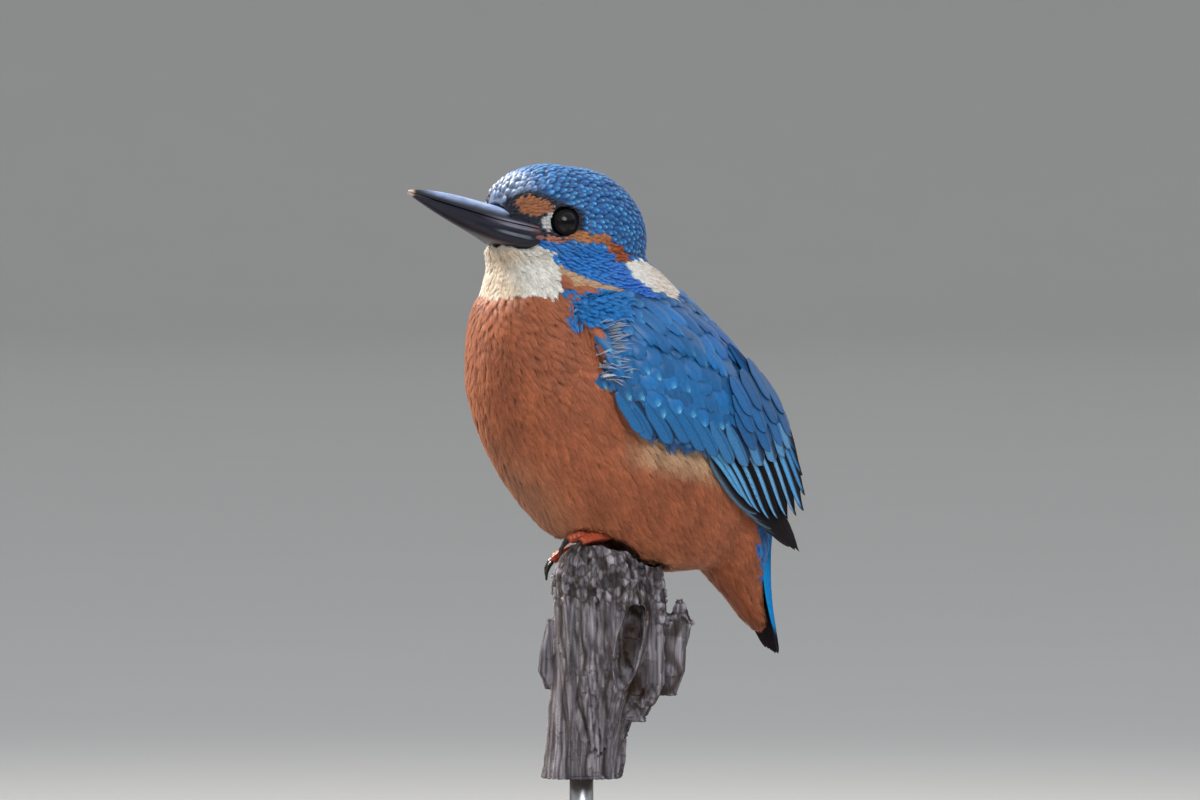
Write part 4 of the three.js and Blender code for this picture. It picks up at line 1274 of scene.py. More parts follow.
def build_body_coat():
    surface = skin_surface()
    orange = bpy.data.materials["orange_feathers"]
    blue = bpy.data.materials["blue_feathers"]
    for name, seed, low, high in (("breast", 31, 108, 200), ("side", 32, 84, 108), ("belly", 36, 0, 84)):
        tract_coat(surface, name + "_feathers", "plume", orange, (BREAST,),
                   (1.3, 0.74), (1.8, 5.4), 0.85, seed,
                   keep=lambda p, low=low, high=high: (p[:, 2] > low) & (p[:, 2] <= high))
    tract_coat(surface, "back_feathers", "plume", blue, (MANTLE, RUMP),
               (1.7, 1.0), (2.4, 5.2), 1.0, 33)
    tract_coat(surface, "shoulder_feathers", "tuft", blue, (SHOULDER,),
               (1.0, 0.6), (1.1, 2.9), 0.95, 34)
    tract_coat(surface, "wing_down_feathers", "covert", blue, (WING,),
               (2.2, 1.6), (2.6, 4.0), 0.5, 35)


# ---------------------------------------------------------------- coverts in rows on the wing

# Where the tips of the median coverts come, from the wing's front to its back: (along, across)
COVERT_LINE = [(11.5, -5.2), (14, -6.4), (17, -7.4), (20.5, -6.9), (23, -5.5), (27, -4.3),
               (30.9, -2.5), (34.5, -0.6), (39.1, 1.1), (43.7, 3.2), (49, 7.2), (53.5, 11.6), (56, 16)]
ROW_STEP = (-1.0, 2.3)  # from each row's tips to the row above it
COVERT_ROWS = 10
COVERT_SPACING = 3.1


def even_places(line, spacing, start=0.0):
    """Points along a line of corners, evenly spaced."""
    corners = np.array(line, float)
    runs = np.concatenate([[0], np.cumsum(np.linalg.norm(np.diff(corners, axis=0), axis=1))])
    at = np.arange(start, runs[-1], spacing)
    return np.stack([np.interp(at, runs, corners[:, 0]), np.interp(at, runs, corners[:, 1])], -1)


def slant_at(across):
    return np.radians(-16 - 0.6 * np.clip(across, 0, 18))


def wing_row_roots(surface, row, reach):
    """One row of coverts on both wings: each one's place, normal, tip and side."""
    tips = even_places(COVERT_LINE, COVERT_SPACING, 0.5 * COVERT_SPACING * (row % 2))
    tips = tips + row * np.array(ROW_STEP)
    roots = tips - reach * slanted(slant_at(tips[:, 1]))
    found = []
    for side, _ in SIDES:
        for root, tip in zip(roots, tips):
            y, z = wing_spot(*root)
            hit = surface.hit(side, y, z)
            if hit is None or z > 127 - 0.30 * max(y, 0):
                continue
            middle = 0.45 * root + 0.55 * tip
            behind = middle[1] + 1.29 * middle[0] > 10.8 or wing_spot(*middle)[1] > 121.5
            if tip[0] > 2 and behind and not inside(SHOULDER_PATCH, y, z):
                found.append((*hit, tip, side))
    return found


def build_wing_coverts():
    surface = skin_surface()
    look = bird_settings().plumage
    blue = plumage_finish("covert_feathers", 0.40, 0.10, 0.10)
    wing, edge, spot = rgb(*look.wing), rgb(*look.edge), rgb(*look.spot)
    random = np.random.default_rng(41)
    found = []
    for row in range(COVERT_ROWS, -1, -1):
        scapular = row >= 4
        reach = 10.5 if scapular else 7.0
        for place, normal, tip, side in wing_row_roots(surface, row, reach):
            way = along_surface(wing_way(slant_at(tip[1])), normal)
            width = (2.6 + 0.9 * random.random()) if scapular else 3.3
            size = (width, reach * (0.90 + 0.2 * random.random()))
            front = ease(34, 26, tip[0])
            pale = 0.35 if random.random() < 0.3 else 0.0
            found.append((place, normal, way, size, tip, {0: 1.0, 2: front, 1: 0.2, 3: 0.2}.get(row, pale),
                          side))
    points, normals, ways, sizes, tips, strengths, sides = (np.array(column) for column in zip(*found))
    upper = ease(6, 20, tips[:, 1])
    tone = blend(wing, wing * rgb(3.2, 0.85, 0.95), upper)
    tone = tone * (0.82 + 0.36 * random.random(len(tips)))[:, None]
    streaked = (random.random(len(tips)) < 0.22) * ease(4, 12, tips[:, 1])
    tone = blend(tone, rgb(0.16, 0.22, 0.30), 0.30 * streaked)
    light = blend(spot * rgb(1.3, 1.1, 1.0), edge, ease(0.5, 0.1, strengths))
    # Roots at 0.8 of the tone: painted shade under the row above.
    paint = (tone * 0.8, tone, light, strengths)
    flat = np.column_stack([tips[:, 0] + np.where(sides > 0, 0, 80), tips[:, 1]])
    piece = grow_coat("covert_row_feathers", "covert", blue, (points, normals, ways), paint,
                      sizes, 1.05, flat_map=flat, seed=41, spot_form=(0.90, 0.085, 0.30))
    hand_over(piece)
    grow_wisps(surface)


def grow_wisps(surface):
    """Fine pale tufts of the breast's side that lie back over the front of each wing."""
    random = np.random.default_rng(43)
    found = []
    for side, _ in SIDES:
        for z in np.arange(108.6, 120.2, 0.21):
            hit = surface.hit(side, -11.2 + 3.0 * random.random() + 0.10 * (120 - z), z)
            if hit:
                way = np.array([0.0, 1.0, 0.30 * random.random() - 0.12])
                found.append((*hit, along_surface(way, hit[1])))
    count = len(found)
    pale = blend(rgb(0.30, 0.40, 0.58), rgb(0.72, 0.70, 0.74), random.random(count))
    # Roots at 0.6 of the tone: painted shade under the tufts above.
    paint = (pale * 0.6, pale, pale, np.zeros(count))
    sizes = np.stack([np.full(count, 0.26), 3.2 + 3.0 * random.random(count)], -1)
    roots = [np.array(column) for column in zip(*found)]
    piece = grow_coat("wisp_feathers", "tuft", bpy.data.materials["white_feathers"], roots, paint, sizes,
                      1.75, seed=43)
    hand_over(piece)


# ---------------------------------------------------------------- large feathers, one by one


class QuillSet:
    """Closed thin feathers gathered into one mesh, each with its own cell of the bake map."""

    def __init__(self, cells):
        self.cells = cells
        self.columns = math.ceil(math.sqrt(cells * 0.35))
        self.rows = math.ceil(cells / self.columns)
        self.points, self.faces, self.colours, self.maps = [], [], [], []
        self.count = 0

    def add(self, top, bottom, top_tone, bottom_tone):
        """top and bottom are grids of points: from root to tip, and across."""
        steps, wide = top.shape[:2]
        first = sum(len(p) for p in self.points)
        self.points += [top.reshape(-1, 3), bottom.reshape(-1, 3)]
        self.colours += [top_tone.reshape(-1, 3), bottom_tone.reshape(-1, 3)]
        column, row = self.count % self.columns, self.count // self.columns
        v, u = np.meshgrid(np.linspace(0, 1, steps), np.linspace(0, 1, wide), indexing="ij")
        for half in (0, 1):
            across = (column + 0.04 + 0.44 * u + 0.48 * half) / self.columns
            along = (row + 0.04 + 0.92 * v) / self.rows
            self.maps.append(np.stack([across, along], -1).reshape(-1, 2))
        self.count += 1
        upper, lower = first + np.arange(2 * steps * wide).reshape(2, steps, wide)
        rims = [np.concatenate([sheet[0], sheet[1:, -1], sheet[-1, -2::-1], sheet[-2::-1, 0]])
                for sheet in (upper, lower)]
        self.faces += quads(upper) + quads(lower[:, ::-1]) + quads(np.array(rims))

    def piece(self, name):
        mesh = write_mesh(name, np.concatenate(self.points), self.faces)
        write_colours(mesh, np.concatenate(self.colours))
        flat = mesh.uv_layers.new(name="OFBake")
        corners = np.zeros(len(mesh.loops), np.int32)
        mesh.loops.foreach_get("vertex_index", corners)
        flat.data.foreach_set("uv", np.concatenate(self.maps)[corners].astype(np.float32).ravel())
        outward(mesh, merge=False)
        return add_object(name, mesh)


def quill_grid(steps, wide):
    """v from root (0) to tip (1) and u across (-1 to 1), for each point of a feather."""
    return np.meshgrid(np.linspace(0, 1, steps), np.linspace(-1, 1, wide), indexing="ij")


def quill_outline(v, square):
    """A flight feather's half-width from root (0) to tip (1), as a share of its widest."""
    rise = 0.35 + 0.65 * np.sin(np.minimum(v / 0.35, 1) * np.pi / 2)
    power = 6.0 if square else 3.2
    return rise * (1 - np.clip((v - 0.45) / 0.55, 0, 1) ** power * 0.985) ** 0.75


def barb_ripple(v, u, per_length, seed):
    """The fine relief of barbs, slanting outwards from the shaft, and the shaft's own ridge."""
    slanted = v * per_length - np.abs(u) * 3.2 + seed
    return 0.018 * np.sin(2 * np.pi * slanted) + 0.10 * np.exp(-((u / 0.10) ** 2))


def wing_quill(quills, side, root, tip, width, bow, heights, tone_of, square=False, steps=44, wide=13,
               seed=0):
    """One large feather on a folded wing. root and tip are (along, across); heights at each end."""
    v, u = quill_grid(steps, wide)
    root, tip = np.array(root, float), np.array(tip, float)
    run = tip - root
    aside = np.array([-run[1], run[0]]) / np.linalg.norm(run)
    curve = bow * np.sin(np.pi * v) + width * 0.5 * quill_outline(v, square) * u
    random = np.random.default_rng(seed)
    ragged = 1 - 0.03 * np.abs(np.sin(23 * u + random.random() * 6)) * ease(0.8, 1.0, v)
    along = root[0] + run[0] * v * ragged + aside[0] * curve
    across = root[1] + run[1] * v * ragged + aside[1] * curve
    height = heights[0] + (heights[1] - heights[0]) * v - 0.20 * u - 0.18 * u * u
    relief = barb_ripple(v, u, 26, seed)
    top = lay_on_wing(side, along, across, height + relief)
    bottom = lay_on_wing(side, along, across, height - 0.16)
    tone = tone_of(v, u)
    quills.add(top, bottom, tone, tone * rgb(0.4, 0.35, 0.35))


def webbed_tone(outer, inner, shaft, edge_share=-0.05, dark_tip=0.0, narrowing=0.0):
    """Colours of a feather with a bright outer web (u below edge_share) and a dark inner one."""

    def tone_of(v, u):
        margin = edge_share - narrowing * (v - 0.5)
        bright = ease(margin + 0.10, margin - 0.10, u)
        tone = blend(inner, outer, bright)
        tone = blend(tone, outer * 0.45, 0.55 * bright * ease(-0.85, -1.0, u))
        tone = blend(tone, shaft, 0.8 * np.exp(-((u / 0.07) ** 2)))
        if dark_tip:
            tone = blend(tone, inner, ease(1 - dark_tip, 1.0, v))
        streak = 1 + 0.10 * np.sin(2 * np.pi * (v * 34 - np.abs(u) * 3.2))
        return tone * streak[..., None]

    return tone_of


# Large feathers of the folded wing, each (root, tip) as (along, across), lowest one first
PRIMARY_TIPS = [(79.0, -0.4), (77.4, -1.3), (75.4, -2.0), (73.2, -2.5), (70.8, -2.9), (68.2, -3.2),
                (65.4, -3.5), (62.4, -3.7)]
SECONDARIES = [((34, -2.0), (58.0, -3.6)), ((36, -0.4), (60.4, -3.6)), ((38, 1.4), (62.8, -3.3)),
               ((40, 3.6), (65.2, -2.5)), ((42, 6.2), (67.4, -1.0)), ((43, 8.8), (69.2, 0.9)),
               ((44, 11.4), (70.6, 3.0))]
TERTIALS = [((44.5, 13.6), (72.0, 5.4)), ((43, 16.2), (70.6, 8.4)), ((39, 18.2), (67.0, 10.8)),
            ((33, 18.6), (61.0, 12.6))]
GREATER_COVERT_ROOTS = [(17.2, -7.6), (19.4, -7.5), (23.4, -5.2), (26.2, -2.6), (30.1, -1.4), (33.4, -0.1),
                        (37.6, 1.7), (41.0, 4.0), (44.2, 7.0), (46.8, 10.4), (48.6, 13.6), (49.4, 16.6)]
GREATER_COVERT_LENGTH = 10.6
REAR_COVERT_TIPS = [(50.2, 4.4), (53.8, 6.8), (56.0, 10.2), (57.4, 13.6), (47.4, 6.6), (50.0, 8.8),
                    (51.6, 12.3), (52.8, 15.8), (44.6, 8.8), (46.2, 11.6), (47.4, 15.2)]
REAR_COVERT_LENGTH = 9.6


def build_flight_feathers():
    look = bird_settings().plumage
    flight, edge, wing = rgb(*look.flight), rgb(*look.edge), rgb(*look.wing)
    material = plumage_finish("flight_feathers", 0.6, 0.0, 0.0, specular=0.05)
    for side, label in SIDES:
        quills = QuillSet(len(PRIMARY_TIPS) + len(SECONDARIES) + len(TERTIALS))
        for i, tip in reversed(list(enumerate(PRIMARY_TIPS))):
            outer = blend(flight * 1.6, rgb(0.10, 0.17, 0.24), ease(3, 6, i))
            tone = webbed_tone(outer, flight, flight * 0.5, -0.72)
            wing_quill(quills, side, (33 + i, 2.2 - i * 0.5), tip, 6.0, -0.6,
                       (-2.0 + 0.06 * i, -1.60 + 0.06 * i), tone, seed=100 + i)
        for i, (root, tip) in enumerate(SECONDARIES):
            outer = blend(edge, edge * rgb(1.6, 1.15, 1.05), i / 7)
            tone = webbed_tone(outer, flight * 0.5, flight, -0.62, 0.04, narrowing=0.16)
            wing_quill(quills, side, root, tip, 4.4, 1.2, (-0.98 + 0.09 * i, -0.68 + 0.09 * i), tone,
                       seed=120 + i)
        for i, (root, tip) in enumerate(TERTIALS):
            outer = blend(edge * rgb(0.9, 0.95, 1.0), wing * rgb(1.8, 0.8, 0.8), i / 3)
            inner = flight * 0.8 if i < 3 else wing * rgb(2.2, 0.5, 0.5)
            tone = webbed_tone(outer, inner, flight, -0.5, 0.10)
            wing_quill(quills, side, root, tip, 5.0, 1.0, (-0.30 + 0.1 * i, 0.05 + 0.1 * i), tone,
                       seed=140 + i)
        hand_over(quills.piece("flight_feathers_" + label), material,
                  [f"wing_{label}_flight"])
        lay_greater_coverts(side, label, wing, edge)


def lay_greater_coverts(side, label, wing, edge):
    """The row of large coverts over the flight feathers' roots, and the rows behind it."""
    quills = QuillSet(len(GREATER_COVERT_ROOTS) + len(REAR_COVERT_TIPS))
    for i, root in enumerate(GREATER_COVERT_ROOTS):
        slant = math.radians(-14 - 0.9 * max(root[1], 0))
        tip = root + GREATER_COVERT_LENGTH * slanted(slant)
        outer = blend(wing * rgb(1.1, 1.0, 0.95), edge * 0.72, ease(4, 11, i))
        tone = webbed_tone(outer, wing * rgb(0.30, 0.17, 0.20), wing * 0.5, 0.42 - 0.35 * ease(5, 9, i))
        wing_quill(quills, side, root, tip, 4.1, 0.3, (-0.55 + 0.05 * i, -0.05 + 0.06 * i), tone,
                   square=True, steps=30, seed=160 + i)
    for i, tip in enumerate(REAR_COVERT_TIPS):
        root = tip - REAR_COVERT_LENGTH * slanted(slant_at(tip[1]))
        outer = wing * rgb(2.0, 0.95, 0.95) * (0.85 + 0.12 * (i % 3))
        tone = webbed_tone(outer, outer * 0.65, wing * 0.5, 0.5)
        wing_quill(quills, side, root, tip, 4.3, 0.4, (0.05 + 0.05 * i, 0.50 + 0.05 * i), tone,
                   steps=30, seed=190 + i)
    hand_over(quills.piece("greater_covert_feathers_" + label),
              bpy.data.materials["covert_feathers"])


def build_tail():
    look = bird_settings().plumage
    pairs = 6
    quills = QuillSet(2 * pairs)
    blue = rgb(*look.moustache) * rgb(1.2, 1.1, 0.9)
    flight = rgb(*look.flight)
    v, u = quill_grid(46, 13)
    for rank in range(pairs - 1, -1, -1):
        for side in (1, -1):
            offset = side * (0.4 + 0.78 * rank)
            top_z, tip_z = 84.0, 48.7 + 0.28 * rank + (0.5 if rank == 0 else 0)
            z = top_z + (tip_z - top_z) * v
            y, half_width, thick = read_rows(TAIL_ROWS, z)
            half = 2.05 * quill_outline(v, False)
            x = offset * (half_width / 6.4) + half * u
            roof = 0.13 * x * x * (1 - 0.5 * v)
            y = y + thick / 2 - 0.10 * rank - 0.04 * (side < 0) - roof - 1.8 * ease(0.16, 0.0, v)
            slope = np.arctan(0.26 * x * (1 - 0.5 * v))
            relief = barb_ripple(v, u, 30, rank)
            top = np.stack([x + relief * np.sin(slope), y + relief * np.cos(slope), z], -1)
            bottom = np.stack([x - 0.16 * np.sin(slope), y - 0.16 * np.cos(slope), z], -1)
            outer = blend(blue, blue * rgb(1.6, 1.5, 1.2), rank / pairs)
            tone = blend(outer, blue * 0.35, ease(0.1, 0.9, -side * u) * (0.3 if rank == 0 else 0.7))
            tone = blend(tone, flight * 0.25, ease(0.82, 0.93, v))
            tone = blend(tone, flight, 0.7 * np.exp(-((u / 0.07) ** 2)))
            under = blend(flight * 1.4, outer, ease(0.5, 0.9, side * u) * (v < 0.85))
            quills.add(top, bottom, tone, under)
    hand_over(quills.piece("tail_feathers"),
              bpy.data.materials["flight_feathers"], ["tail"])


# ---------------------------------------------------------------- feet


TOES = ("inner", "middle", "outer", "hind")
PLATE_LENGTH = 1.05  # along a toe


def node_axis(node):
    """A slender solid's middle and long direction."""
    points = points_of(frame["nodes"][node].data)
    middle = points.mean(0)
    _, _, axes = np.linalg.svd(points - middle, full_matrices=False)
    return middle, axes[0]


def foot_finish():
    finish = Finish("foot_skin", 0.42, Subsurface_Weight=0.08, Subsurface_Radius=(0.0012, 0.0005, 0.0003))
    cells = finish.node("ShaderNodeTexVoronoi", {"Vector": finish.place(), "Scale": 2600.0})
    scales = cells.outputs["Distance"]
    # Painted shade: the grooves between the small scales, which the bump sinks, are painted darker.
    finish.paint("foot_tone", finish.ramp(scales, (0.1, 1.1), (0.7, 0.72)))
    finish.bump(scales, -0.35, 0.0002)
    return finish.material


def build_feet():
    """Each foot is one skin over its leg and toes, with plates across the toes' upper sides."""
    material = foot_finish()
    horn = horn_finish("claw_horn", 0.28)
    skin = rgb(*bird_settings().hard.foot)
    for _, label in SIDES:
        limbs = [f"leg_{label}", *(f"toe_{label}_{toe}" for toe in TOES)]
        piece = solid_skin("foot_" + label, limbs, 0.16, grow=0.10, smoothing=8)
        mesh = piece.data
        points, normals = points_of(mesh), normals_of(mesh)
        gap = np.full(len(points), np.inf)
        run = np.zeros(len(points))
        for limb in limbs:
            middle, axis = node_axis(limb)
            along = (points - middle) @ axis
            reach = np.abs((points_of(frame["nodes"][limb].data) - middle) @ axis).max()
            off = np.linalg.norm(points - middle - np.clip(along, -reach, reach)[:, None] * axis, axis=1)
            run = np.where(off < gap, along, run)
            gap = np.minimum(gap, off)
        plates = np.abs(np.sin(np.pi * run / PLATE_LENGTH)) ** 0.45
        above = ease(-0.1, 0.5, normals[:, 2])
        set_points(mesh, points + normals * (0.10 * (plates - 0.75) * (0.35 + 0.65 * above))[:, None])
        # Painted shade: the grooves between the plates on the toes' upper sides are painted darker.
        write_colours(mesh, blend(skin * 0.45, skin, plates * above + (1 - above) * 0.8), "foot_tone")
        hand_over(piece, material, limbs)
        build_claws(label, horn)


def build_claws(label, material):
    nodes = [f"claw_{label}_{toe}" for toe in TOES]
    points, faces, first = [], [], 0
    for node in nodes:
        work = solid_skin("claw_work", [node], 0.10, smoothing=6).data
        points.append(points_of(work))
        faces += [[first + i for i in face.vertices] for face in work.polygons]
        first += len(points[-1])
        bpy.data.meshes.remove(work)
    mesh = write_mesh("claws_" + label, np.concatenate(points), faces)
    write_colours(mesh, np.tile(bird_settings().hard.claw, (first, 1)), "horn_tone")
    hand_over(add_object("claws_" + label, mesh), material, nodes)


# ---------------------------------------------------------------- perch

STEM_FACE = math.radians(65)  # where the stem's broad face looks, from -Y towards +X


def stem_read(points):
    """Across the stem's broad face, out of it, and up."""
    across = points[:, 0] * math.cos(STEM_FACE) + points[:, 1] * math.sin(STEM_FACE)
    out = points[:, 0] * math.sin(STEM_FACE) - points[:, 1] * math.cos(STEM_FACE)
    return across, out, points[:, 2]


def plank_at(run, up, width, tall, seed):
    """Upright planks of a surface: each point's plank depth (0..1) and its distance from a crack."""
    depth, gap = np.zeros(len(run)), np.zeros(len(run))
    for i, (s, z) in enumerate(zip(run.tolist(), up.tolist())):
        wander = noise.noise(Vector((s / 5, seed, z / 9)))
        lane = s / width + 0.35 * wander
        column = math.floor(lane)
        shift = noise.cell(Vector((column + 0.5, seed, 0.5))) * 9
        tier = z / tall + shift + 0.12 * noise.noise(Vector((s * 1.3, seed, z / 4)))
        row = math.floor(tier)
        depth[i] = noise.cell(Vector((column + 0.5, row + 0.5, seed)))
        aside = min(lane - column, 1 - lane + column) * width
        ends = min(tier - row, 1 - tier + row) * tall * 2.2
        gap[i] = min(aside, ends)
    return depth, gap


def chip_at(points, size, seed):
    """Chips of a surface: each point's chip depth (0..1) and its distance from a gap."""
    noise.seed_set(int(seed))  # noise_vector differs from run to run without it
    depth, gap = np.zeros(len(points)), np.zeros(len(points))
    for i, (x, y, z) in enumerate(points.tolist()):
        spot = Vector((x / size + seed, y / size, z / (size * 1.5)))
        spot = spot + noise.noise_vector(spot * 1.7) * 0.30
        distances, centres = noise.voronoi(spot)
        depth[i] = noise.cell(centres[0] * 7.3)
        gap[i] = (distances[1] - distances[0]) * size
    return depth, gap


def build_perch():
    mount = bird_settings().mount
    piece = solid_skin("perch_wood", ["perch"], 0.30, smoothing=1)
    mesh = piece.data
    points, normals = points_of(mesh), normals_of(mesh)
    across, out, up = stem_read(points)
    run = np.arctan2(out, across - 1.5) * 8.5
    fibre = noise_at(across, out, up, (0.55, 0.55, 13.0))
    streak = noise_at(across + 40, out, up, (1.3, 1.3, 9.0))
    crumb = noise_at(across, out + 30, up, (0.9, 0.9, 0.8))
    wide_depth, wide_gap = plank_at(run, up, 3.4, 17.0, 3.0)
    thin_depth, thin_gap = plank_at(run, up, 1.25, 8.0, 8.0)
    clump_depth, clump_gap = chip_at(points, 1.5, 14.0)
    side = ease(0.95, 0.5, np.abs(normals[:, 2]))
    rubble = ease(60, 63.0, up + 4.0 * streak + 4.5 * ease(0, 7, across))
    crack = np.maximum(ease(0.40, 0.10, wide_gap), 0.75 * ease(0.22, 0.05, thin_gap) * (streak > -0.1))
    planks = 0.25 - 0.85 * (1 - wide_depth) ** 1.5 - 0.25 * (1 - thin_depth) + 0.26 * fibre - 0.7 * crack
    chips = 1.3 * (clump_depth - 0.65) + 0.25 * crumb + 0.15 * fibre - 0.8 * ease(0.40, 0.05, clump_gap)
    push = planks * (1 - rubble) * side + chips * rubble + 0.2 * crumb * (1 - side)
    thin = ease(9.5, 12.0, np.hypot(across - 1.0, out))
    push = np.clip(push, -1.35 + 0.95 * thin, 0.35) * (0.30 + 0.70 * ease(71.5, 69.0, up))
    push = np.where(up < 25.5, np.minimum(push, 0.1), push)
    set_points(mesh, points + normals * push[:, None])
    grey, brown = rgb(*mount.wood), rgb(*mount.hollow_wood_and_shade)
    light = ease(-0.6, 0.7, fibre + 0.7 * streak + 0.5 * crumb * rubble)
    tone = blend(grey * rgb(0.45, 0.43, 0.46), grey * 1.5, light)
    # Each plank and chip keeps its own random tone, and is painted darker the deeper it is sunk, as painted
    # shade.
    each = (0.86 + 0.28 * thin_depth) * (1 - rubble) + (0.62 + 0.60 * clump_depth) * rubble
    tone = tone * each[:, None]
    # The recessed hollow is painted dark brown: its rotten wood, made darker as painted shade in the recess.
    # The cracks and the gaps between chips get the same brown as painted shade.
    inner = ease(8.6, 7.2, out) * ease(0.8, 2.4, across) * ease(9.6, 8.4, across) * (out > 0)
    inner = inner * ease(64, 60, up) * ease(39, 43, up)
    gaps = crack * (1 - rubble) + ease(0.35, 0.08, clump_gap) * rubble
    tone = blend(tone, brown, np.clip(0.85 * inner + 0.75 * gaps, 0, 1))
    write_colours(mesh, tone, "wood_tone")
    hand_over(piece, weathered_wood(), ["perch"])


def weathered_wood():
    finish = Finish("weathered_wood", 0.85, 0.25)
    fibres = finish.grain(1700, (1, 1, 0.07), detail=8.0, roughness=0.7)
    pits = finish.grain(1500, detail=6.0, roughness=0.7)
    finish.paint("wood_tone", finish.ramp(fibres, (0.32, (0.50, 0.47, 0.46)), (0.52, (1.0, 0.98, 0.97)),
                                          (0.72, (1.45, 1.42, 1.42))))
    both = finish.node("ShaderNodeMath", {0: fibres, 1: pits}, operation="ADD").outputs[0]
    finish.bump(both, 0.8, 0.0005)
    return finish.material


# ---------------------------------------------------------------- stand

ROD_RADIUS = 2.5
ROD_TOP = 34.0
ROD_FOOT = 2.5
COLLAR_RADIUS = 4.6


def circles(profile, centre, sides):
    """Level circles of points about an upright line, from (radius, z) corners."""
    angles = 2 * math.pi * np.arange(sides) / sides
    return [np.stack([centre[0] + r * np.cos(angles), centre[1] + r * np.sin(angles),
                      np.full(sides, z)], -1) for r, z in profile]


def turned(name, profile, centre, sides=128):
    """A solid of revolution about an upright line, with flat ends."""
    poles = (*centre, profile[0][1]), (*centre, profile[-1][1])
    mesh = write_mesh(name, *closed_loft(circles(profile, centre, sides), *poles))
    outward(mesh)
    mesh.polygons.foreach_set("use_smooth", [len(p.vertices) == 4 for p in mesh.polygons])
    return add_object(name, mesh)


def arc(centre, radius, start, end, count=9):
    """Corners on a quarter or part circle of a profile, with angles in degrees."""
    return [(centre[0] + radius * math.cos(a), centre[1] + radius * math.sin(a))
            for a in np.radians(np.linspace(start, end, count))]


def build_stand():
    _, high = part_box("stand_base")
    radius, top = high.x / MM, high.z / MM
    edge = bird_settings().mount.base_edge / MM
    step, foot = 1.6, 0.8  # rounding of the step below the upper edge, and of the foot
    shoulder = top - edge - step
    profile = [(radius - 1.5, 0.0), *arc((radius - foot, foot), foot, -60, 0, 5),
               (radius, shoulder), *arc((radius - step, shoulder + 0.2), step, 0, 60, 5),
               *arc((radius - step - edge, top - edge), edge, 20, 90), (radius * 0.5, top), (6.0, top)]
    base = turned("stand_base_wood", profile, (0.0, 0.0))
    hand_over(base, turned_wood(), ["stand_base"])
    rod_low, rod_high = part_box("stand_rod")
    centre = ((rod_low.x + rod_high.x) / 2 / MM, (rod_low.y + rod_high.y) / 2 / MM)
    profile = [(ROD_RADIUS - 0.4, ROD_FOOT), (ROD_RADIUS, ROD_FOOT + 0.4), (ROD_RADIUS, top + 0.02),
               (COLLAR_RADIUS, top + 0.02), *arc((COLLAR_RADIUS - 0.5, top + 1.0), 0.5, 0, 90, 6),
               (ROD_RADIUS + 0.25, top + 1.55), (ROD_RADIUS, top + 1.9),
               (ROD_RADIUS, ROD_TOP - 0.4), (ROD_RADIUS - 0.4, ROD_TOP)]
    rod = turned("stand_rod_steel", profile, centre, 64)
    hand_over(rod, brushed_steel(), ["stand_rod"])


def turned_wood():
    wood = rgb(*bird_settings().mount.base)
    finish = Finish("turned_wood", 0.36, Coat_Weight=0.35, Coat_Roughness=0.22)
    rings = finish.node("ShaderNodeTexWave", {
        "Vector": finish.place((1, 0.12, 1)), "Scale": 190.0, "Distortion": 5.0, "Detail": 4.0,
        "Detail Scale": 1.6}, bands_direction="X").outputs["Fac"]
    pores = finish.grain(2600, (1, 0.06, 1), detail=5.0)
    grain_tone = finish.ramp(rings, (0.0, wood * 0.78), (0.55, wood), (1.0, wood * 1.18))
    finish.colour(finish.multiply(grain_tone, finish.ramp(pores, (0.30, 0.45), (0.48, 1.0)), 0.8))
    finish.bump(pores, 0.15, 0.0002)
    finish.roughness(rings, 0.30, 0.46)
    return finish.material


def brushed_steel():
    steel = rgb(*bird_settings().mount.steel)
    finish = Finish("brushed_steel", 0.32, Metallic=1.0)
    brushed = finish.grain(900, (1, 1, 9), detail=5.0)
    finish.colour(finish.ramp(brushed, (0.3, steel * 0.8), (0.7, steel * 1.15)))
    finish.roughness(brushed, 0.24, 0.42)
    finish.bump(brushed, 0.12, 0.0001)
    return finish.material


# ---------------------------------------------------------------- stage


def add_to_stage(name, data, place, aim):
    """A lamp or camera at a place, looking at another one."""
    item = bpy.data.objects.new(name, data)
    bpy.context.scene.collection.objects.link(item)
    item.location = place
    item.rotation_euler = (aim - place).to_track_quat("-Z", "Y").to_euler()
    return item


def area_light(name, place, aim, size, watts, tone, spread):
    data = bpy.data.lights.new(name, "AREA")
    data.shape = "DISK"
    data.size = size
    data.energy = watts
    data.color = tone
    data.spread = math.radians(spread)
    add_to_stage(name, data, place, aim)


def build_stage():
    setup = bird_settings().stage
    scene = bpy.context.scene
    aim = Vector((0, 0, setup.aim_height))
    towards = Vector((math.sin(setup.azimuth) * math.cos(setup.elevation),
                      -math.cos(setup.azimuth) * math.cos(setup.elevation),
                      math.sin(setup.elevation)))
    right = Vector((math.cos(setup.azimuth), math.sin(setup.azimuth), 0))
    above = towards.cross(right)
    data = bpy.data.cameras.new("camera")
    data.sensor_width = 36
    data.lens = setup.lens
    data.clip_start = 0.05
    data.clip_end = 40
    scene.camera = add_to_stage("camera", data, aim + towards * setup.distance, aim)
    area_light("key_light", aim - towards * 0.62 - right * 0.95 + above * 1.10,
               aim + towards * 0.06 + above * 0.05, 0.5, setup.key, (1.0, 0.95, 0.87), 30)
    area_light("fill_light", aim + towards * 1.35 + right * 0.28 + above * 0.85, aim, 0.9, setup.fill,
               (0.84, 0.92, 1.0), 60)
    world = bpy.data.worlds.new("studio")
    scene.world = world
    world.use_nodes = True
    air = world.node_tree.nodes["Background"].inputs
    air["Color"].default_value = (0.90, 0.93, 0.97, 1)
    air["Strength"].default_value = setup.air
    scene.view_settings.view_transform = "Standard"
    build_floor()


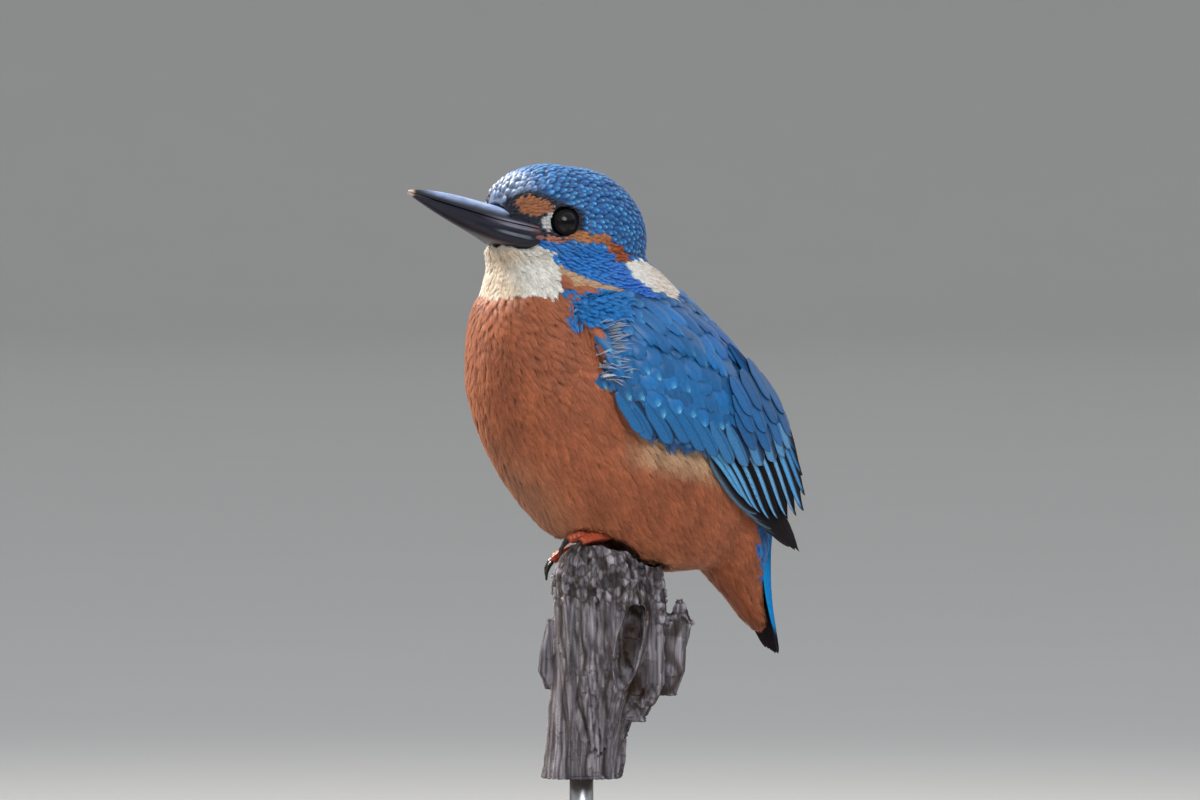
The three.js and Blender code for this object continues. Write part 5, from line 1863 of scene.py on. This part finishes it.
def build_floor():
    """A round floor of pale paper that bends up into a wall far behind."""
    floor_radius, bend, wall_top = 4200.0, 1200.0, 1900.0
    profile = [(200.0, 0.0), (800.0, 0.0), (2000.0, 0.0),
               *arc((floor_radius, bend), bend, -90, 0, 16), (floor_radius + bend, wall_top)]
    mesh = write_mesh("studio_floor", *closed_loft(circles(profile, (0, 0), 96), (0, 0, 0)))
    finish = Finish("studio_paper", 0.8, 0.2)
    pale = rgb(*bird_settings().stage.floor)
    finish.colour(finish.ramp(finish.grain(14), (0.3, pale * 0.985), (0.7, pale)))
    mesh.materials.append(finish.material)
    add_object("studio_floor", mesh)


# ---------------------------------------------------------------- operators and panel


class KINGFISHER_OT_stage(bpy.types.Operator):
    """Make the floor, the lights and the camera"""

    bl_idname = "kingfisher.stage"
    bl_label = "Stage"

    def execute(self, context):
        build_stage()
        return {"FINISHED"}


class KINGFISHER_OT_skin(bpy.types.Operator):
    """Make one skin over the bird's body"""

    bl_idname = "kingfisher.skin"
    bl_label = "Skin"

    def execute(self, context):
        build_skin()
        return {"FINISHED"}


class KINGFISHER_OT_lids(bpy.types.Operator):
    """Make the rims of skin round the eyes"""

    bl_idname = "kingfisher.lids"
    bl_label = "Eyelids"

    def execute(self, context):
        build_lids()
        return {"FINISHED"}


class KINGFISHER_OT_eyes(bpy.types.Operator):
    """Make the two eyes"""

    bl_idname = "kingfisher.eyes"
    bl_label = "Eyes"

    def execute(self, context):
        build_eyes()
        return {"FINISHED"}


class KINGFISHER_OT_bill(bpy.types.Operator):
    """Make both halves of the bill"""

    bl_idname = "kingfisher.bill"
    bl_label = "Bill"

    def execute(self, context):
        build_bill()
        return {"FINISHED"}


class KINGFISHER_OT_head_coat(bpy.types.Operator):
    """Feather the head and throat"""

    bl_idname = "kingfisher.head_coat"
    bl_label = "Head feathers"

    def execute(self, context):
        build_head_coat()
        return {"FINISHED"}


class KINGFISHER_OT_body_coat(bpy.types.Operator):
    """Feather the body and shoulders"""

    bl_idname = "kingfisher.body_coat"
    bl_label = "Body feathers"

    def execute(self, context):
        build_body_coat()
        return {"FINISHED"}


class KINGFISHER_OT_coverts(bpy.types.Operator):
    """Lay rows of coverts on the wings"""

    bl_idname = "kingfisher.coverts"
    bl_label = "Wing coverts"

    def execute(self, context):
        build_wing_coverts()
        return {"FINISHED"}


class KINGFISHER_OT_flight(bpy.types.Operator):
    """Make the large feathers of the wings"""

    bl_idname = "kingfisher.flight"
    bl_label = "Flight feathers"

    def execute(self, context):
        build_flight_feathers()
        return {"FINISHED"}


class KINGFISHER_OT_tail(bpy.types.Operator):
    """Make the tail feathers"""

    bl_idname = "kingfisher.tail"
    bl_label = "Tail"

    def execute(self, context):
        build_tail()
        return {"FINISHED"}


class KINGFISHER_OT_feet(bpy.types.Operator):
    """Make the feet and claws"""

    bl_idname = "kingfisher.feet"
    bl_label = "Feet"

    def execute(self, context):
        build_feet()
        return {"FINISHED"}


class KINGFISHER_OT_perch(bpy.types.Operator):
    """Make the broken stem"""

    bl_idname = "kingfisher.perch"
    bl_label = "Perch"

    def execute(self, context):
        build_perch()
        return {"FINISHED"}


class KINGFISHER_OT_stand(bpy.types.Operator):
    """Make the display stand"""

    bl_idname = "kingfisher.stand"
    bl_label = "Stand"

    def execute(self, context):
        build_stand()
        return {"FINISHED"}


OPERATORS = (KINGFISHER_OT_stage, KINGFISHER_OT_skin, KINGFISHER_OT_lids, KINGFISHER_OT_eyes,
             KINGFISHER_OT_bill, KINGFISHER_OT_head_coat, KINGFISHER_OT_body_coat, KINGFISHER_OT_coverts,
             KINGFISHER_OT_flight, KINGFISHER_OT_tail, KINGFISHER_OT_feet, KINGFISHER_OT_perch,
             KINGFISHER_OT_stand)


class KINGFISHER_PT_panel(bpy.types.Panel):
    """Lists the pieces in the order in which they are made."""

    bl_label = "Kingfisher"
    bl_idname = "KINGFISHER_PT_panel"
    bl_space_type = "VIEW_3D"
    bl_region_type = "UI"
    bl_category = "Kingfisher"

    def draw(self, context):
        for kind in OPERATORS:
            self.layout.operator(kind.bl_idname)
        settings = context.scene.kingfisher
        for group in (settings.plumage, settings.hard, settings.mount, settings.stage):
            box = self.layout.box()
            for name in group.__annotations__:
                box.prop(group, name)


CLASSES = (PlumageSettings, HardPartSettings, MountSettings, StageSettings, KingfisherSettings,
           *OPERATORS, KINGFISHER_PT_panel)


def register():
    for kind in CLASSES:
        bpy.utils.register_class(kind)
    bpy.types.Scene.kingfisher = PointerProperty(type=KingfisherSettings)


def unregister():
    del bpy.types.Scene.kingfisher
    for kind in reversed(CLASSES):
        bpy.utils.unregister_class(kind)


def main():
    register()
    for kind in OPERATORS:
        getattr(bpy.ops.kingfisher, kind.bl_idname.split(".")[1])()
    skin = bpy.data.objects["body_skin"].data
    skin.attributes.remove(skin.attributes["rise"])
    clear_vanes()


if __name__ == "__main__":
    main()
